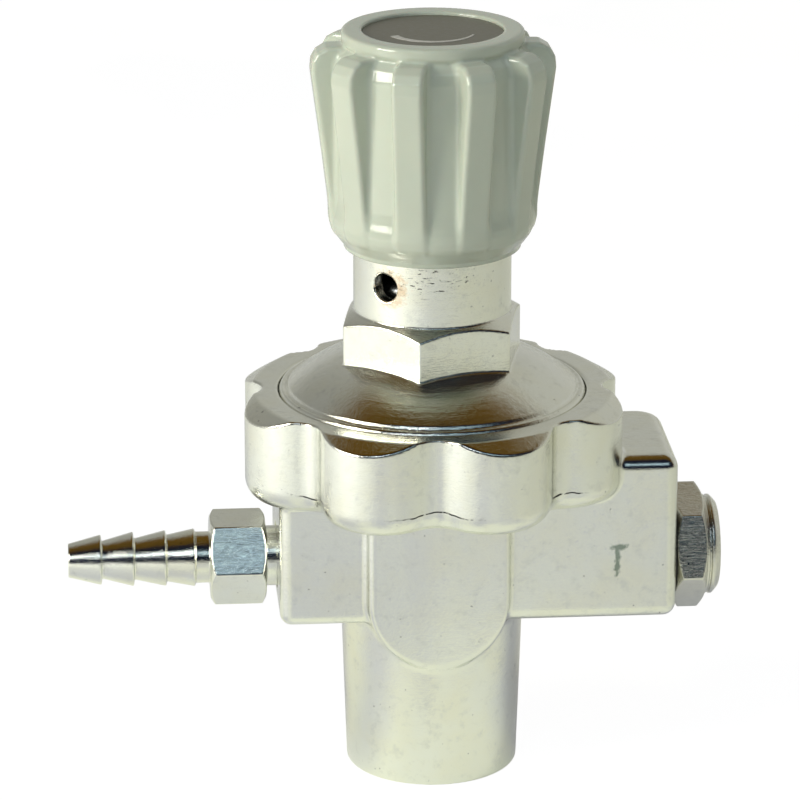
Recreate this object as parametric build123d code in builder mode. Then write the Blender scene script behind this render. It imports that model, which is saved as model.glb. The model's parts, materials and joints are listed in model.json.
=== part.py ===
from build123d import *
import math
import os

# Carbon dioxide regulator for disposable bottles.
#
# Millimetres, +Z up. The origin is on the axis of the threaded inlet, in the plane of the
# skirt's bottom edge. The hose tail points to -X, the relief valve to +X, and -Y is the front.

os.makedirs("parts", exist_ok=True)

# ---------------------------------------------------------------- driving dimensions
# Running and press clearances
FIT = 0.05
THREAD_GAP = 0.1

# Skirt and inlet: M10 x 1, drawn at its tapping size
SKIRT_R = 12.5
SKIRT_DRAFT = 0.033
SKIRT_TOP = 44.0
SKIRT_EDGE = 0.5
INLET_R = 4.5
INLET_THREAD_DEPTH = 0.45
INLET_PITCH = 1.0
INLET_LENGTH = 13.0
SEAL_R = 5.2
SEAL_HOLE_R = 2.2
SEAL_TOP = 15.0
SEAL_HEIGHT = 1.8
FILTER_BORE_R = 3.0
PIN_DISC_TOP = 17.0
FILTER_TOP = 19.5
PIN_R = 0.9
PIN_TIP = 13.3
PASSAGE_R = 1.5

# Arms, pads and ports
ARM_HALF_WIDTH = 11.5
LEFT_END = -22.8
LEFT_BOTTOM = 25.0
RIGHT_END = 34.7
RIGHT_BOTTOM = 24.8
RIGHT_TOP = 49.5
ARM_ROUND = 1.7
RIGHT_BACK_ROUND = 4.0
PAD_R = 10.2
PAD_CENTRE_Z = 28.9
PAD_HALF_DEPTH = 13.8
PAD_ROUND = 0.8
PORT_Z = 32.0
PORT_R = 4.95
PORT_PITCH = 0.907
PORT_THREAD_DEPTH = 0.5
LEFT_PORT_FLOOR = -11.0
RIGHT_PORT_FLOOR = 22.0
CROSS_HOLE_X = 12.0
CROSS_HOLE_R = 1.2

# Lobed flange
LOBES = 8
LOBE_R = 9.0
LOBE_CENTRE_R = 19.6
LOBE_VALLEY_ROUND = 3.2
LOBE_TURN = -3.0
FLANGE_BOTTOM = 43.3
FLANGE_TOP = 57.45
FLANGE_BOTTOM_ROUND = 3.3
FLANGE_FLAT_R = 26.0
FLANGE_OUTER_R = LOBE_CENTRE_R + LOBE_R
FLANGE_CHAMFER_SLOPE = 0.6

# Chamber, diaphragm and bonnet thread
CHAMBER_R = 17.5
CHAMBER_FLOOR = 45.5
LEDGE_Z = 49.5
COVER_R = 22.3
COVER_PITCH = 1.5
COVER_THREAD_DEPTH = 0.6
DIAPHRAGM_R = 21.9
DIAPHRAGM_THICK = 0.8
SLIP_RING_THICK = 0.7
BONNET_BOTTOM = LEDGE_Z + DIAPHRAGM_THICK + SLIP_RING_THICK

# Bonnet
BONNET_R = COVER_R - THREAD_GAP
BONNET_RIM_Z = 57.5
DOME_EDGE_R = 20.8
DOME_EDGE_Z = 58.2
DOME_MIDDLE = (17.2, 60.65)
DOME_TOP = (12.0, 62.75)
BONNET_HEX_AF = 24.0
BONNET_HEX_CHAMFER_R = 11.6
HEX_CHAMFER_SLOPE = 0.577
BONNET_HEX_BOTTOM = 60.5
BONNET_HEX_TOP = 69.4
BONNET_HEX_TURN = 18.0
BARREL_R = 11.35
BARREL_TOP = 89.5
SPRING_ROOM_R = 9.3
SPRING_ROOM_TOP = 82.0
PLATE_ROOM_R = 17.8
PLATE_ROOM_TOP = 52.5
PLATE_ROOM_NECK_Z = 60.5
VENT_R = 2.0
VENT_Z = 75.0
VENT_AZIMUTH = -131.5

# Valve: nozzle, poppet and their spring
VALVE_BORE_R = 4.0
VALVE_BORE_FLOOR = 28.0
NOZZLE_BOTTOM = 39.0
NOZZLE_HEAD_AF = 12.0
NOZZLE_HEAD_TOP = 47.3
NOZZLE_ORIFICE_R = 0.9
NOZZLE_ORIFICE_TOP = 41.0
NOZZLE_BORE_R = 1.6
O_RING_R = 4.65
O_RING_WIRE_R = 0.54
O_RING_GROOVE_R = 5.4
O_RING_GROOVE_FLOOR = 44.3
POPPET_CORNER_R = 3.9
POPPET_BOTTOM = 33.0
POPPET_TOP = 38.6
POPPET_STEM_R = 1.3
POPPET_STEM_BOTTOM = 29.5
POPPET_PIN_R = 0.5
POPPET_PIN_TOP = 48.25
SEAT_DISC_R = 2.0
SEAT_DISC_BOTTOM = 37.9
SEAT_DISC_TOP = 38.95
POPPET_SPRING_R = 2.3
POPPET_SPRING_WIRE_R = 0.3
POPPET_SPRING_TURNS = 4

# Diaphragm stack
PLATE_R = 13.0
PLATE_TOP = 51.8
PLATE_BOSS_R = 6.0
PLATE_BOSS_TOP = 53.0
RIVET_R = 2.0
RIVET_HEAD_R = 3.2
RIVET_HEAD_TOP = 52.6
BUTTON_R = 4.0
BUTTON_BOTTOM = 48.3

# Range spring, its button and the thrust ball
RANGE_SPRING_R = 7.5
RANGE_SPRING_WIRE_R = 1.1
RANGE_SPRING_TURNS = 6
SPRING_GAP = 0.1
SPRING_BUTTON_R = 9.0
SPRING_BUTTON_BOTTOM = 76.0
SPRING_BUTTON_TOP = 78.6
SPRING_PILOT_R = 6.2
SPRING_PILOT_BOTTOM = 74.0
BALL_R = 2.5
BALL_Z = 79.6

# Adjusting screw M8 with a hexagonal collar, its nut and washer
SCREW_R = 4.0
SCREW_ROOT_R = 3.4
SCREW_PITCH = 1.25
SCREW_BOTTOM = BALL_Z + BALL_R + FIT
SCREW_TOP = 108.4
COLLAR_AF = 10.0
COLLAR_BOTTOM = 95.6
COLLAR_TOP = 99.0
WASHER_R = 7.5
WASHER_THICK = 1.0
NUT_AF = 13.0
NUT_HEIGHT = 4.0

# Knob
KNOB_BOTTOM = 78.8
KNOB_LIP_R = 12.7
KNOB_LIP_TOP = 79.5
KNOB_FOOT_R = 14.7
KNOB_FOOT_Z = 82.8
KNOB_FOOT_TOP = 85.0
KNOB_CORE_R = 14.1
KNOB_SHOULDER_Z = 106.4
KNOB_NECK_R = 12.8
KNOB_NECK_Z = 107.9
KNOB_RIM_R = 13.0
KNOB_RIM_BOTTOM = 108.8
KNOB_TOP = 110.5
KNOB_RIM_ROUND = 0.5
KNOB_ROOM_R = 12.0
KNOB_ROOM_TOP = 96.0
HUB_TOP = 103.0
NUT_ROOM_R = 9.0
LABEL_R = 10.0
LABEL_BOTTOM = 109.5
LABEL_TOP = 110.0
RIBS = 10
RIB_WIDTH = 4.5
RIB_TURN = -107.0
RIB_ROOT_R = 12.6
RIB_EDGE_ROUND = 0.7
RIB_OUTLINE = [(14.2, 82.6), (14.8, 83.8), (15.05, 86.5), (15.9, 93.6), (17.4, 104.7),
               (17.16, 106.5), (16.45, 107.7), (15.2, 108.6)]

# Hose tail, measured along X from the inlet axis
TAIL_THREAD_R = PORT_R - THREAD_GAP
TAIL_INNER_END = -12.2
TAIL_NECK_R = 4.4
TAIL_HEX_AF = 12.2
TAIL_HEX_RIGHT = -24.4
TAIL_HEX_LEFT = -32.5
TAIL_HEX_TURN = 3.4
TAIL_HEX_CHAMFER = 0.6
TAIL_BORE_R = 1.7
TAIL_SHANK_R = 3.75
TAIL_TIP = (-53.1, 2.45)
TAIL_BARBS = [(-48.3, 3.65, 2.7), (-43.6, 3.95, 3.0), (-38.9, 4.0, 3.4), (-34.7, 4.2, 3.75)]
TAIL_SEAL_HOLE_R = 2.0

# Relief valve, measured along X from the inlet axis
RELIEF_WASHER_R = 7.8
RELIEF_WASHER_THICK = 0.5
RELIEF_HEX_AF = 16.0
RELIEF_HEX_LEFT = RIGHT_END + RELIEF_WASHER_THICK
RELIEF_HEX_RIGHT = 39.7
RELIEF_HEX_TURN = 14.0
RELIEF_HEX_CHAMFER = 0.7
RELIEF_BOSS_R = 7.3
RELIEF_BOSS_END = 41.8
RELIEF_BOSS_ROUND = 0.6
RELIEF_GROOVE_LEFT = 40.15
RELIEF_GROOVE_RIGHT = 40.45
RELIEF_GROOVE_R = 6.9
RELIEF_INNER_END = 23.5
RELIEF_SEAT_X = 25.0
RELIEF_BORE_R = 3.6
RELIEF_ORIFICE_R = 1.2
RELIEF_POPPET_R = 3.3
RELIEF_POPPET_LEFT = 25.3
RELIEF_POPPET_RIGHT = 28.5
RELIEF_STEM_R = 1.5
RELIEF_STEM_END = 31.0
RELIEF_DISC_R = 2.0
RELIEF_DISC_RIGHT = 26.1
RELIEF_SPRING_R = 2.4
RELIEF_SPRING_WIRE_R = 0.4
RELIEF_SPRING_TURNS = 6
ADJUSTER_LEFT = 38.3
ADJUSTER_RIGHT = 41.0
ADJUSTER_HOLE_AF = 3.0

PORT_AXIS = Axis((0, 0, PORT_Z), (1, 0, 0))
PORT_PLANE = Plane(origin=(0, 0, PORT_Z), x_dir=(1, 0, 0), z_dir=(0, -1, 0))


# ---------------------------------------------------------------- helpers
def outline(points, plane=Plane.XZ):
    """A flat face bounded by straight lines through the points, on the given plane."""
    with BuildSketch(plane, mode=Mode.PRIVATE) as face:
        with BuildLine():
            Polyline(*points, close=True)
        make_face()
    return face.sketch


def thread(land, groove, start, end, pitch):
    """(radius, place) points of a thread drawn as rings: lands with V grooves between."""
    step = math.copysign(pitch, end - start)
    points = []
    for turn in range(int(abs(end - start) / pitch)):
        place = start + turn * step
        points += [(land, place + step / 4), (groove, place + step / 2), (land, place + step * 3 / 4)]
    return points


def along(points):
    """The same points for a part turned about the ports' axis: (place, radius)."""
    return [(place, radius) for radius, place in points]


def cross_plane(x):
    """A plane across the ports' axis, facing +X, with its own x axis towards +Y."""
    return Plane(origin=(x, 0, PORT_Z), x_dir=(0, 1, 0), z_dir=(1, 0, 0))


def coil(plane, radius, wire_r, length, turns):
    """A helical spring standing on a plane, with its wire inside the given length."""
    rise = length - 2 * wire_r
    with BuildPart(mode=Mode.PRIVATE) as wire:
        with BuildLine():
            path = Helix(rise / turns, rise, radius)
        with BuildSketch(Plane(origin=path @ 0, z_dir=path % 0)):
            Circle(wire_r)
        sweep(path=path, is_frenet=True)
    return plane * Pos(0, 0, wire_r) * wire.part


# ---------------------------------------------------------------- body casting
# Lobed flange that holds the bonnet: eight round lobes with filleted valleys between them
with BuildPart() as flange:
    with BuildSketch(Plane.XY.offset(FLANGE_BOTTOM)) as flange_outline:
        Circle(LOBE_CENTRE_R)
        with PolarLocations(LOBE_CENTRE_R, LOBES, start_angle=180 / LOBES + LOBE_TURN):
            Circle(LOBE_R)
        fillet(flange_outline.vertices(), LOBE_VALLEY_ROUND)
    extrude(amount=FLANGE_TOP - FLANGE_BOTTOM)
    fillet(flange.edges().group_by(Axis.Z)[0], FLANGE_BOTTOM_ROUND)
    revolve(
        outline([
            (FLANGE_FLAT_R, FLANGE_TOP),
            (FLANGE_OUTER_R + 1, FLANGE_TOP - (FLANGE_OUTER_R + 1 - FLANGE_FLAT_R) * FLANGE_CHAMFER_SLOPE),
            (FLANGE_OUTER_R + 1, FLANGE_TOP),
        ]),
        mode=Mode.SUBTRACT,
    )

# Round-bottomed pads on the front and the back
with BuildPart() as pads:
    with BuildSketch(Plane.XZ):
        with Locations((0, PAD_CENTRE_Z)):
            Circle(PAD_R)
            Rectangle(2 * PAD_R, FLANGE_BOTTOM + 1 - PAD_CENTRE_Z, align=(Align.CENTER, Align.MIN))
    extrude(amount=PAD_HALF_DEPTH, both=True)
    fillet(pads.faces().filter_by(Axis.Y).edges(), PAD_ROUND)

# Long arm with the relief port
with BuildPart() as right_arm:
    with BuildSketch(Plane.XY.offset(RIGHT_BOTTOM)):
        Rectangle(RIGHT_END, 2 * ARM_HALF_WIDTH, align=(Align.MIN, Align.CENTER))
    extrude(amount=RIGHT_TOP - RIGHT_BOTTOM)
    fillet(right_arm.edges().filter_by(Axis.Z).sort_by(Axis.X)[-2:].sort_by(Axis.Y)[-1], RIGHT_BACK_ROUND)
    fillet(right_arm.edges().filter_by_position(Axis.X, 1, RIGHT_END), ARM_ROUND)

# Short arm with the hose port
with BuildPart() as left_arm:
    with BuildSketch(Plane.XY.offset(LEFT_BOTTOM)):
        Rectangle(-LEFT_END, 2 * ARM_HALF_WIDTH, align=(Align.MAX, Align.CENTER))
    extrude(amount=FLANGE_BOTTOM + 1 - LEFT_BOTTOM)
    fillet(left_arm.edges().filter_by_position(Axis.X, LEFT_END, -1), ARM_ROUND)

with BuildPart() as body_casting:
    add(flange.part)
    add(pads.part)
    add(right_arm.part)
    add(left_arm.part)
    # Tapered skirt
    revolve(outline([
        (0, 0),
        (SKIRT_R - SKIRT_EDGE, 0),
        (SKIRT_R, SKIRT_EDGE),
        (SKIRT_R + SKIRT_DRAFT * SKIRT_TOP, SKIRT_TOP),
        (0, SKIRT_TOP),
    ]))
    # Inlet: thread, seat of the flat seal, filter bore and gas passage
    revolve(
        outline(
            [(0, 0), (INLET_R, 0)]
            + thread(INLET_R, INLET_R + INLET_THREAD_DEPTH, 0, INLET_LENGTH, INLET_PITCH)
            + [
                (INLET_R, INLET_LENGTH),
                (SEAL_R + FIT, INLET_LENGTH),
                (SEAL_R + FIT, SEAL_TOP),
                (FILTER_BORE_R, SEAL_TOP),
                (FILTER_BORE_R, FILTER_TOP),
                (PASSAGE_R, FILTER_TOP),
                (PASSAGE_R, VALVE_BORE_FLOOR),
                (VALVE_BORE_R, VALVE_BORE_FLOOR),
                (VALVE_BORE_R, O_RING_GROOVE_FLOOR),
                (O_RING_GROOVE_R, O_RING_GROOVE_FLOOR),
                (O_RING_GROOVE_R, CHAMBER_FLOOR),
                (CHAMBER_R, CHAMBER_FLOOR),
                (CHAMBER_R, LEDGE_Z),
                (COVER_R, LEDGE_Z),
            ]
            + thread(COVER_R, COVER_R + COVER_THREAD_DEPTH, LEDGE_Z + 1, FLANGE_TOP, COVER_PITCH)
            + [(COVER_R, FLANGE_TOP), (0, FLANGE_TOP)]
        ),
        mode=Mode.SUBTRACT,
    )
    # Hose port and relief port, each with a cross hole up into the chamber
    revolve(
        outline([
            (LEFT_END - 1, 0),
            (LEFT_END - 1, PORT_R),
            (LEFT_PORT_FLOOR, PORT_R),
            (LEFT_PORT_FLOOR, 0),
        ], PORT_PLANE),
        axis=PORT_AXIS,
        mode=Mode.SUBTRACT,
    )
    revolve(
        outline([
            (CROSS_HOLE_X, 0),
            (CROSS_HOLE_X, CROSS_HOLE_R),
            (RIGHT_PORT_FLOOR, CROSS_HOLE_R),
            (RIGHT_PORT_FLOOR, PORT_R),
            (RIGHT_END + 1, PORT_R),
            (RIGHT_END + 1, 0),
        ], PORT_PLANE),
        axis=PORT_AXIS,
        mode=Mode.SUBTRACT,
    )
    with BuildSketch(Plane.XY.offset(PORT_Z)):
        with Locations((-CROSS_HOLE_X, 0), (CROSS_HOLE_X, 0)):
            Circle(CROSS_HOLE_R)
    extrude(amount=CHAMBER_FLOOR + 1 - PORT_Z, mode=Mode.SUBTRACT)

body_casting.part.label = "body_casting"
export_step(body_casting.part, "parts/body_casting.step")


# ---------------------------------------------------------------- inlet parts
with BuildPart() as inlet_seal:
    with BuildSketch(Plane.XY.offset(SEAL_TOP - SEAL_HEIGHT)):
        Circle(SEAL_R)
        Circle(SEAL_HOLE_R, mode=Mode.SUBTRACT)
    extrude(amount=SEAL_HEIGHT)

inlet_seal.part.label = "inlet_seal"
export_step(inlet_seal.part, "parts/inlet_seal.step")

# Perforated disc with the pin that opens the bottle's valve
with BuildPart() as inlet_pin:
    with BuildSketch(Plane.XY.offset(SEAL_TOP)):
        Circle(FILTER_BORE_R - FIT)
        with PolarLocations(2.0, 3):
            Circle(0.5, mode=Mode.SUBTRACT)
    extrude(amount=PIN_DISC_TOP - SEAL_TOP)
    with BuildSketch(Plane.XY.offset(PIN_TIP)):
        Circle(PIN_R)
    extrude(amount=SEAL_TOP - PIN_TIP)
    chamfer(inlet_pin.edges().group_by(Axis.Z)[0], 0.3)

inlet_pin.part.label = "inlet_pin"
export_step(inlet_pin.part, "parts/inlet_pin.step")

with BuildPart() as inlet_filter:
    with BuildSketch(Plane.XY.offset(PIN_DISC_TOP)):
        Circle(FILTER_BORE_R - FIT)
    extrude(amount=FILTER_TOP - PIN_DISC_TOP)

inlet_filter.part.label = "inlet_filter"
export_step(inlet_filter.part, "parts/inlet_filter.step")


# ---------------------------------------------------------------- valve
with BuildPart() as valve_seat_nozzle:
    revolve(outline(
        [(NOZZLE_ORIFICE_R, NOZZLE_BOTTOM), (VALVE_BORE_R - THREAD_GAP, NOZZLE_BOTTOM)]
        + thread(VALVE_BORE_R - THREAD_GAP, VALVE_BORE_R - 0.5, NOZZLE_BOTTOM + 0.5, O_RING_GROOVE_FLOOR, 0.75)
        + [
            (VALVE_BORE_R - THREAD_GAP, CHAMBER_FLOOR),
            (NOZZLE_BORE_R, CHAMBER_FLOOR),
            (NOZZLE_BORE_R, NOZZLE_ORIFICE_TOP),
            (NOZZLE_ORIFICE_R, NOZZLE_ORIFICE_TOP),
        ]
    ))
    with BuildSketch(Plane.XY.offset(CHAMBER_FLOOR)):
        RegularPolygon(NOZZLE_HEAD_AF / 2, 6, major_radius=False)
        Circle(NOZZLE_BORE_R, mode=Mode.SUBTRACT)
    extrude(amount=NOZZLE_HEAD_TOP - CHAMBER_FLOOR)

valve_seat_nozzle.part.label = "valve_seat_nozzle"
export_step(valve_seat_nozzle.part, "parts/valve_seat_nozzle.step")

with BuildPart(Plane.XY.offset((O_RING_GROOVE_FLOOR + CHAMBER_FLOOR) / 2)) as nozzle_o_ring:
    Torus(O_RING_R, O_RING_WIRE_R)

nozzle_o_ring.part.label = "nozzle_o_ring"
export_step(nozzle_o_ring.part, "parts/nozzle_o_ring.step")

# Hexagonal poppet: its corners guide it in the bore and gas passes along its flats
with BuildPart() as valve_poppet:
    with BuildSketch(Plane.XY.offset(POPPET_BOTTOM)):
        RegularPolygon(POPPET_CORNER_R, 6)
    extrude(amount=POPPET_TOP - POPPET_BOTTOM)
    with BuildSketch(Plane.XY.offset(SEAT_DISC_BOTTOM)):
        Circle(SEAT_DISC_R + FIT)
    extrude(amount=POPPET_TOP - SEAT_DISC_BOTTOM, mode=Mode.SUBTRACT)
    with BuildSketch(Plane.XY.offset(POPPET_STEM_BOTTOM)):
        Circle(POPPET_STEM_R)
    extrude(amount=POPPET_BOTTOM - POPPET_STEM_BOTTOM)
    with BuildSketch(Plane.XY.offset(POPPET_BOTTOM)):
        Circle(POPPET_PIN_R)
    extrude(amount=POPPET_PIN_TOP - POPPET_BOTTOM)

valve_poppet.part.label = "valve_poppet"
export_step(valve_poppet.part, "parts/valve_poppet.step")

with BuildPart() as poppet_seat_disc:
    with BuildSketch(Plane.XY.offset(SEAT_DISC_BOTTOM)):
        Circle(SEAT_DISC_R)
        Circle(POPPET_PIN_R + FIT, mode=Mode.SUBTRACT)
    extrude(amount=SEAT_DISC_TOP - SEAT_DISC_BOTTOM)

poppet_seat_disc.part.label = "poppet_seat_disc"
export_step(poppet_seat_disc.part, "parts/poppet_seat_disc.step")

with BuildPart() as poppet_spring:
    add(coil(
        Plane.XY.offset(VALVE_BORE_FLOOR + SPRING_GAP),
        POPPET_SPRING_R,
        POPPET_SPRING_WIRE_R,
        POPPET_BOTTOM - VALVE_BORE_FLOOR - 2 * SPRING_GAP,
        POPPET_SPRING_TURNS,
    ))

poppet_spring.part.label = "poppet_spring"
export_step(poppet_spring.part, "parts/poppet_spring.step")


# ---------------------------------------------------------------- diaphragm and its stack
with BuildPart() as diaphragm:
    with BuildSketch(Plane.XY.offset(LEDGE_Z)):
        Circle(DIAPHRAGM_R)
        Circle(RIVET_R + FIT, mode=Mode.SUBTRACT)
    extrude(amount=DIAPHRAGM_THICK)

diaphragm.part.label = "diaphragm"
export_step(diaphragm.part, "parts/diaphragm.step")

with BuildPart() as diaphragm_slip_ring:
    with BuildSketch(Plane.XY.offset(LEDGE_Z + DIAPHRAGM_THICK)):
        Circle(DIAPHRAGM_R)
        Circle(CHAMBER_R, mode=Mode.SUBTRACT)
    extrude(amount=SLIP_RING_THICK)

diaphragm_slip_ring.part.label = "diaphragm_slip_ring"
export_step(diaphragm_slip_ring.part, "parts/diaphragm_slip_ring.step")

with BuildPart() as diaphragm_plate:
    revolve(outline([
        (RIVET_R + FIT, LEDGE_Z + DIAPHRAGM_THICK),
        (PLATE_R, LEDGE_Z + DIAPHRAGM_THICK),
        (PLATE_R, PLATE_TOP),
        (PLATE_BOSS_R, PLATE_TOP),
        (PLATE_BOSS_R, PLATE_BOSS_TOP),
        (RIVET_HEAD_R + FIT, PLATE_BOSS_TOP),
        (RIVET_HEAD_R + FIT, PLATE_TOP),
        (RIVET_R + FIT, PLATE_TOP),
    ]))

diaphragm_plate.part.label = "diaphragm_plate"
export_step(diaphragm_plate.part, "parts/diaphragm_plate.step")

# Button under the diaphragm, riveted through it and the plate
with BuildPart() as diaphragm_button:
    revolve(outline([
        (0, BUTTON_BOTTOM),
        (BUTTON_R, BUTTON_BOTTOM),
        (BUTTON_R, LEDGE_Z),
        (RIVET_R, LEDGE_Z),
        (RIVET_R, PLATE_TOP),
        (RIVET_HEAD_R, PLATE_TOP),
        (RIVET_R, RIVET_HEAD_TOP),
        (0, RIVET_HEAD_TOP),
    ]))

diaphragm_button.part.label = "diaphragm_button"
export_step(diaphragm_button.part, "parts/diaphragm_button.step")


# ---------------------------------------------------------------- bonnet
with BuildPart() as bonnet:
    # Threaded rim, domed cover and barrel, solid
    with BuildSketch(Plane.XZ):
        with BuildLine():
            Polyline(
                (0, BONNET_BOTTOM),
                (BONNET_R, BONNET_BOTTOM),
                *thread(BONNET_R, BONNET_R - COVER_THREAD_DEPTH, BONNET_BOTTOM, BONNET_RIM_Z - 1, COVER_PITCH),
                (BONNET_R, BONNET_RIM_Z),
                (DOME_EDGE_R, DOME_EDGE_Z),
            )
            ThreePointArc((DOME_EDGE_R, DOME_EDGE_Z), DOME_MIDDLE, DOME_TOP)
            Polyline(
                DOME_TOP,
                (BARREL_R, DOME_TOP[1]),
                (BARREL_R, BARREL_TOP),
                (0, BARREL_TOP),
                (0, BONNET_BOTTOM),
            )
        make_face()
    revolve()
    # Hexagon with a chamfered top
    with BuildSketch(Plane.XY.offset(BONNET_HEX_BOTTOM)):
        RegularPolygon(BONNET_HEX_AF / 2, 6, major_radius=False, rotation=BONNET_HEX_TURN)
    extrude(amount=BONNET_HEX_TOP - BONNET_HEX_BOTTOM)
    revolve(
        outline([
            (BONNET_HEX_CHAMFER_R, BONNET_HEX_TOP),
            (BONNET_HEX_AF, BONNET_HEX_TOP - (BONNET_HEX_AF - BONNET_HEX_CHAMFER_R) * HEX_CHAMFER_SLOPE),
            (BONNET_HEX_AF, BONNET_HEX_TOP),
        ]),
        mode=Mode.SUBTRACT,
    )
    # Room for the plate and the spring, and the tapped hole
    revolve(
        outline([
            (0, BONNET_BOTTOM),
            (PLATE_ROOM_R, BONNET_BOTTOM),
            (PLATE_ROOM_R, PLATE_ROOM_TOP),
            (SPRING_ROOM_R, PLATE_ROOM_NECK_Z),
            (SPRING_ROOM_R, SPRING_ROOM_TOP),
            (SCREW_R + THREAD_GAP, SPRING_ROOM_TOP),
            (SCREW_R + THREAD_GAP, BARREL_TOP),
            (0, BARREL_TOP),
        ]),
        mode=Mode.SUBTRACT,
    )
    # Vent hole in the barrel
    vent_direction = Vector(1, 0, 0).rotate(Axis.Z, VENT_AZIMUTH)
    with BuildSketch(Plane(origin=(0, 0, VENT_Z), z_dir=vent_direction)):
        Circle(VENT_R)
    extrude(amount=BARREL_R + 1, mode=Mode.SUBTRACT)

bonnet.part.label = "bonnet"
export_step(bonnet.part, "parts/bonnet.step")


# ---------------------------------------------------------------- range spring and follower
with BuildPart() as range_spring:
    add(coil(
        Plane.XY.offset(PLATE_TOP + SPRING_GAP),
        RANGE_SPRING_R,
        RANGE_SPRING_WIRE_R,
        SPRING_BUTTON_BOTTOM - PLATE_TOP - 2 * SPRING_GAP,
        RANGE_SPRING_TURNS,
    ))

range_spring.part.label = "range_spring"
export_step(range_spring.part, "parts/range_spring.step")

with BuildPart() as spring_button:
    revolve(outline([
        (0, SPRING_PILOT_BOTTOM),
        (SPRING_PILOT_R - 0.5, SPRING_PILOT_BOTTOM),
        (SPRING_PILOT_R, SPRING_PILOT_BOTTOM + 0.5),
        (SPRING_PILOT_R, SPRING_BUTTON_BOTTOM),
        (SPRING_BUTTON_R, SPRING_BUTTON_BOTTOM),
        (SPRING_BUTTON_R, SPRING_BUTTON_TOP),
        (0, SPRING_BUTTON_TOP),
    ]))
    with Locations((0, 0, BALL_Z)):
        Sphere(BALL_R + FIT, mode=Mode.SUBTRACT)

spring_button.part.label = "spring_button"
export_step(spring_button.part, "parts/spring_button.step")

with BuildPart(Plane.XY.offset(BALL_Z)) as thrust_ball:
    Sphere(BALL_R)

thrust_ball.part.label = "thrust_ball"
export_step(thrust_ball.part, "parts/thrust_ball.step")


# ---------------------------------------------------------------- knob and adjusting screw
with BuildPart() as adjusting_screw:
    revolve(outline(
        [(0, SCREW_BOTTOM), (SCREW_ROOT_R, SCREW_BOTTOM), (SCREW_R, SCREW_BOTTOM + 0.6)]
        + thread(SCREW_R, SCREW_ROOT_R, SCREW_BOTTOM + 1, COLLAR_BOTTOM, SCREW_PITCH)
        + [(SCREW_R, COLLAR_BOTTOM), (SCREW_R, HUB_TOP + WASHER_THICK)]
        + thread(SCREW_R, SCREW_ROOT_R, HUB_TOP + WASHER_THICK, SCREW_TOP, SCREW_PITCH)
        + [(SCREW_ROOT_R, SCREW_TOP), (0, SCREW_TOP)]
    ))
    with BuildSketch(Plane.XY.offset(COLLAR_BOTTOM)):
        RegularPolygon(COLLAR_AF / 2, 6, major_radius=False)
    extrude(amount=COLLAR_TOP - COLLAR_BOTTOM)

adjusting_screw.part.label = "adjusting_screw"
export_step(adjusting_screw.part, "parts/adjusting_screw.step")

# Ribs: a flared ring cut down to narrow radial slabs
with BuildPart() as knob_ribs:
    revolve(outline([(RIB_ROOT_R, RIB_OUTLINE[0][1])] + RIB_OUTLINE + [(RIB_ROOT_R, RIB_OUTLINE[-1][1])]))
    with BuildSketch(Plane.XY.offset(KNOB_BOTTOM)):
        with PolarLocations(0, RIBS // 2, start_angle=RIB_TURN, angular_range=180):
            Rectangle(3 * KNOB_CORE_R, RIB_WIDTH)
    extrude(amount=KNOB_TOP - KNOB_BOTTOM, mode=Mode.INTERSECT)
    fillet(knob_ribs.edges().filter_by(lambda edge: edge.center().Z > RIB_OUTLINE[2][1]
                                       and edge.length > 5
                                       and math.hypot(edge.center().X, edge.center().Y) > KNOB_CORE_R + 1),
           RIB_EDGE_ROUND)

with BuildPart() as knob:
    revolve(outline([
        (KNOB_ROOM_R, KNOB_BOTTOM),
        (KNOB_LIP_R, KNOB_BOTTOM),
        (KNOB_LIP_R + 0.1, KNOB_LIP_TOP),
        (KNOB_FOOT_R - 0.6, KNOB_FOOT_Z - 1.8),
        (KNOB_FOOT_R, KNOB_FOOT_Z),
        (KNOB_CORE_R, KNOB_FOOT_TOP),
        (KNOB_CORE_R, KNOB_SHOULDER_Z),
        (KNOB_CORE_R - 0.4, KNOB_SHOULDER_Z + 1),
        (KNOB_NECK_R, KNOB_NECK_Z),
        (KNOB_NECK_R, KNOB_RIM_BOTTOM),
        (KNOB_RIM_R, KNOB_RIM_BOTTOM + 0.2),
        (KNOB_RIM_R, KNOB_TOP - KNOB_RIM_ROUND),
        (KNOB_RIM_R - KNOB_RIM_ROUND, KNOB_TOP),
        (LABEL_R + FIT, KNOB_TOP),
        (LABEL_R + FIT, LABEL_BOTTOM),
        (NUT_ROOM_R, LABEL_BOTTOM),
        (NUT_ROOM_R, HUB_TOP),
        (SCREW_R + FIT, HUB_TOP),
        (SCREW_R + FIT, KNOB_ROOM_TOP),
        (KNOB_ROOM_R, KNOB_ROOM_TOP),
    ]))
    add(knob_ribs.part)
    # Hexagonal socket that drives the screw's collar
    with BuildSketch(Plane.XY.offset(KNOB_ROOM_TOP)):
        RegularPolygon(COLLAR_AF / 2 + FIT, 6, major_radius=False)
    extrude(amount=COLLAR_TOP - KNOB_ROOM_TOP, mode=Mode.SUBTRACT)

knob.part.label = "knob"
export_step(knob.part, "parts/knob.step")

with BuildPart() as knob_washer:
    with BuildSketch(Plane.XY.offset(HUB_TOP)):
        Circle(WASHER_R)
        Circle(SCREW_R + 2 * FIT, mode=Mode.SUBTRACT)
    extrude(amount=WASHER_THICK)

knob_washer.part.label = "knob_washer"
export_step(knob_washer.part, "parts/knob_washer.step")

with BuildPart() as knob_nut:
    with BuildSketch(Plane.XY.offset(HUB_TOP + WASHER_THICK)):
        RegularPolygon(NUT_AF / 2, 6, major_radius=False)
        Circle(SCREW_R + FIT, mode=Mode.SUBTRACT)
    extrude(amount=NUT_HEIGHT)

knob_nut.part.label = "knob_nut"
export_step(knob_nut.part, "parts/knob_nut.step")

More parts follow.
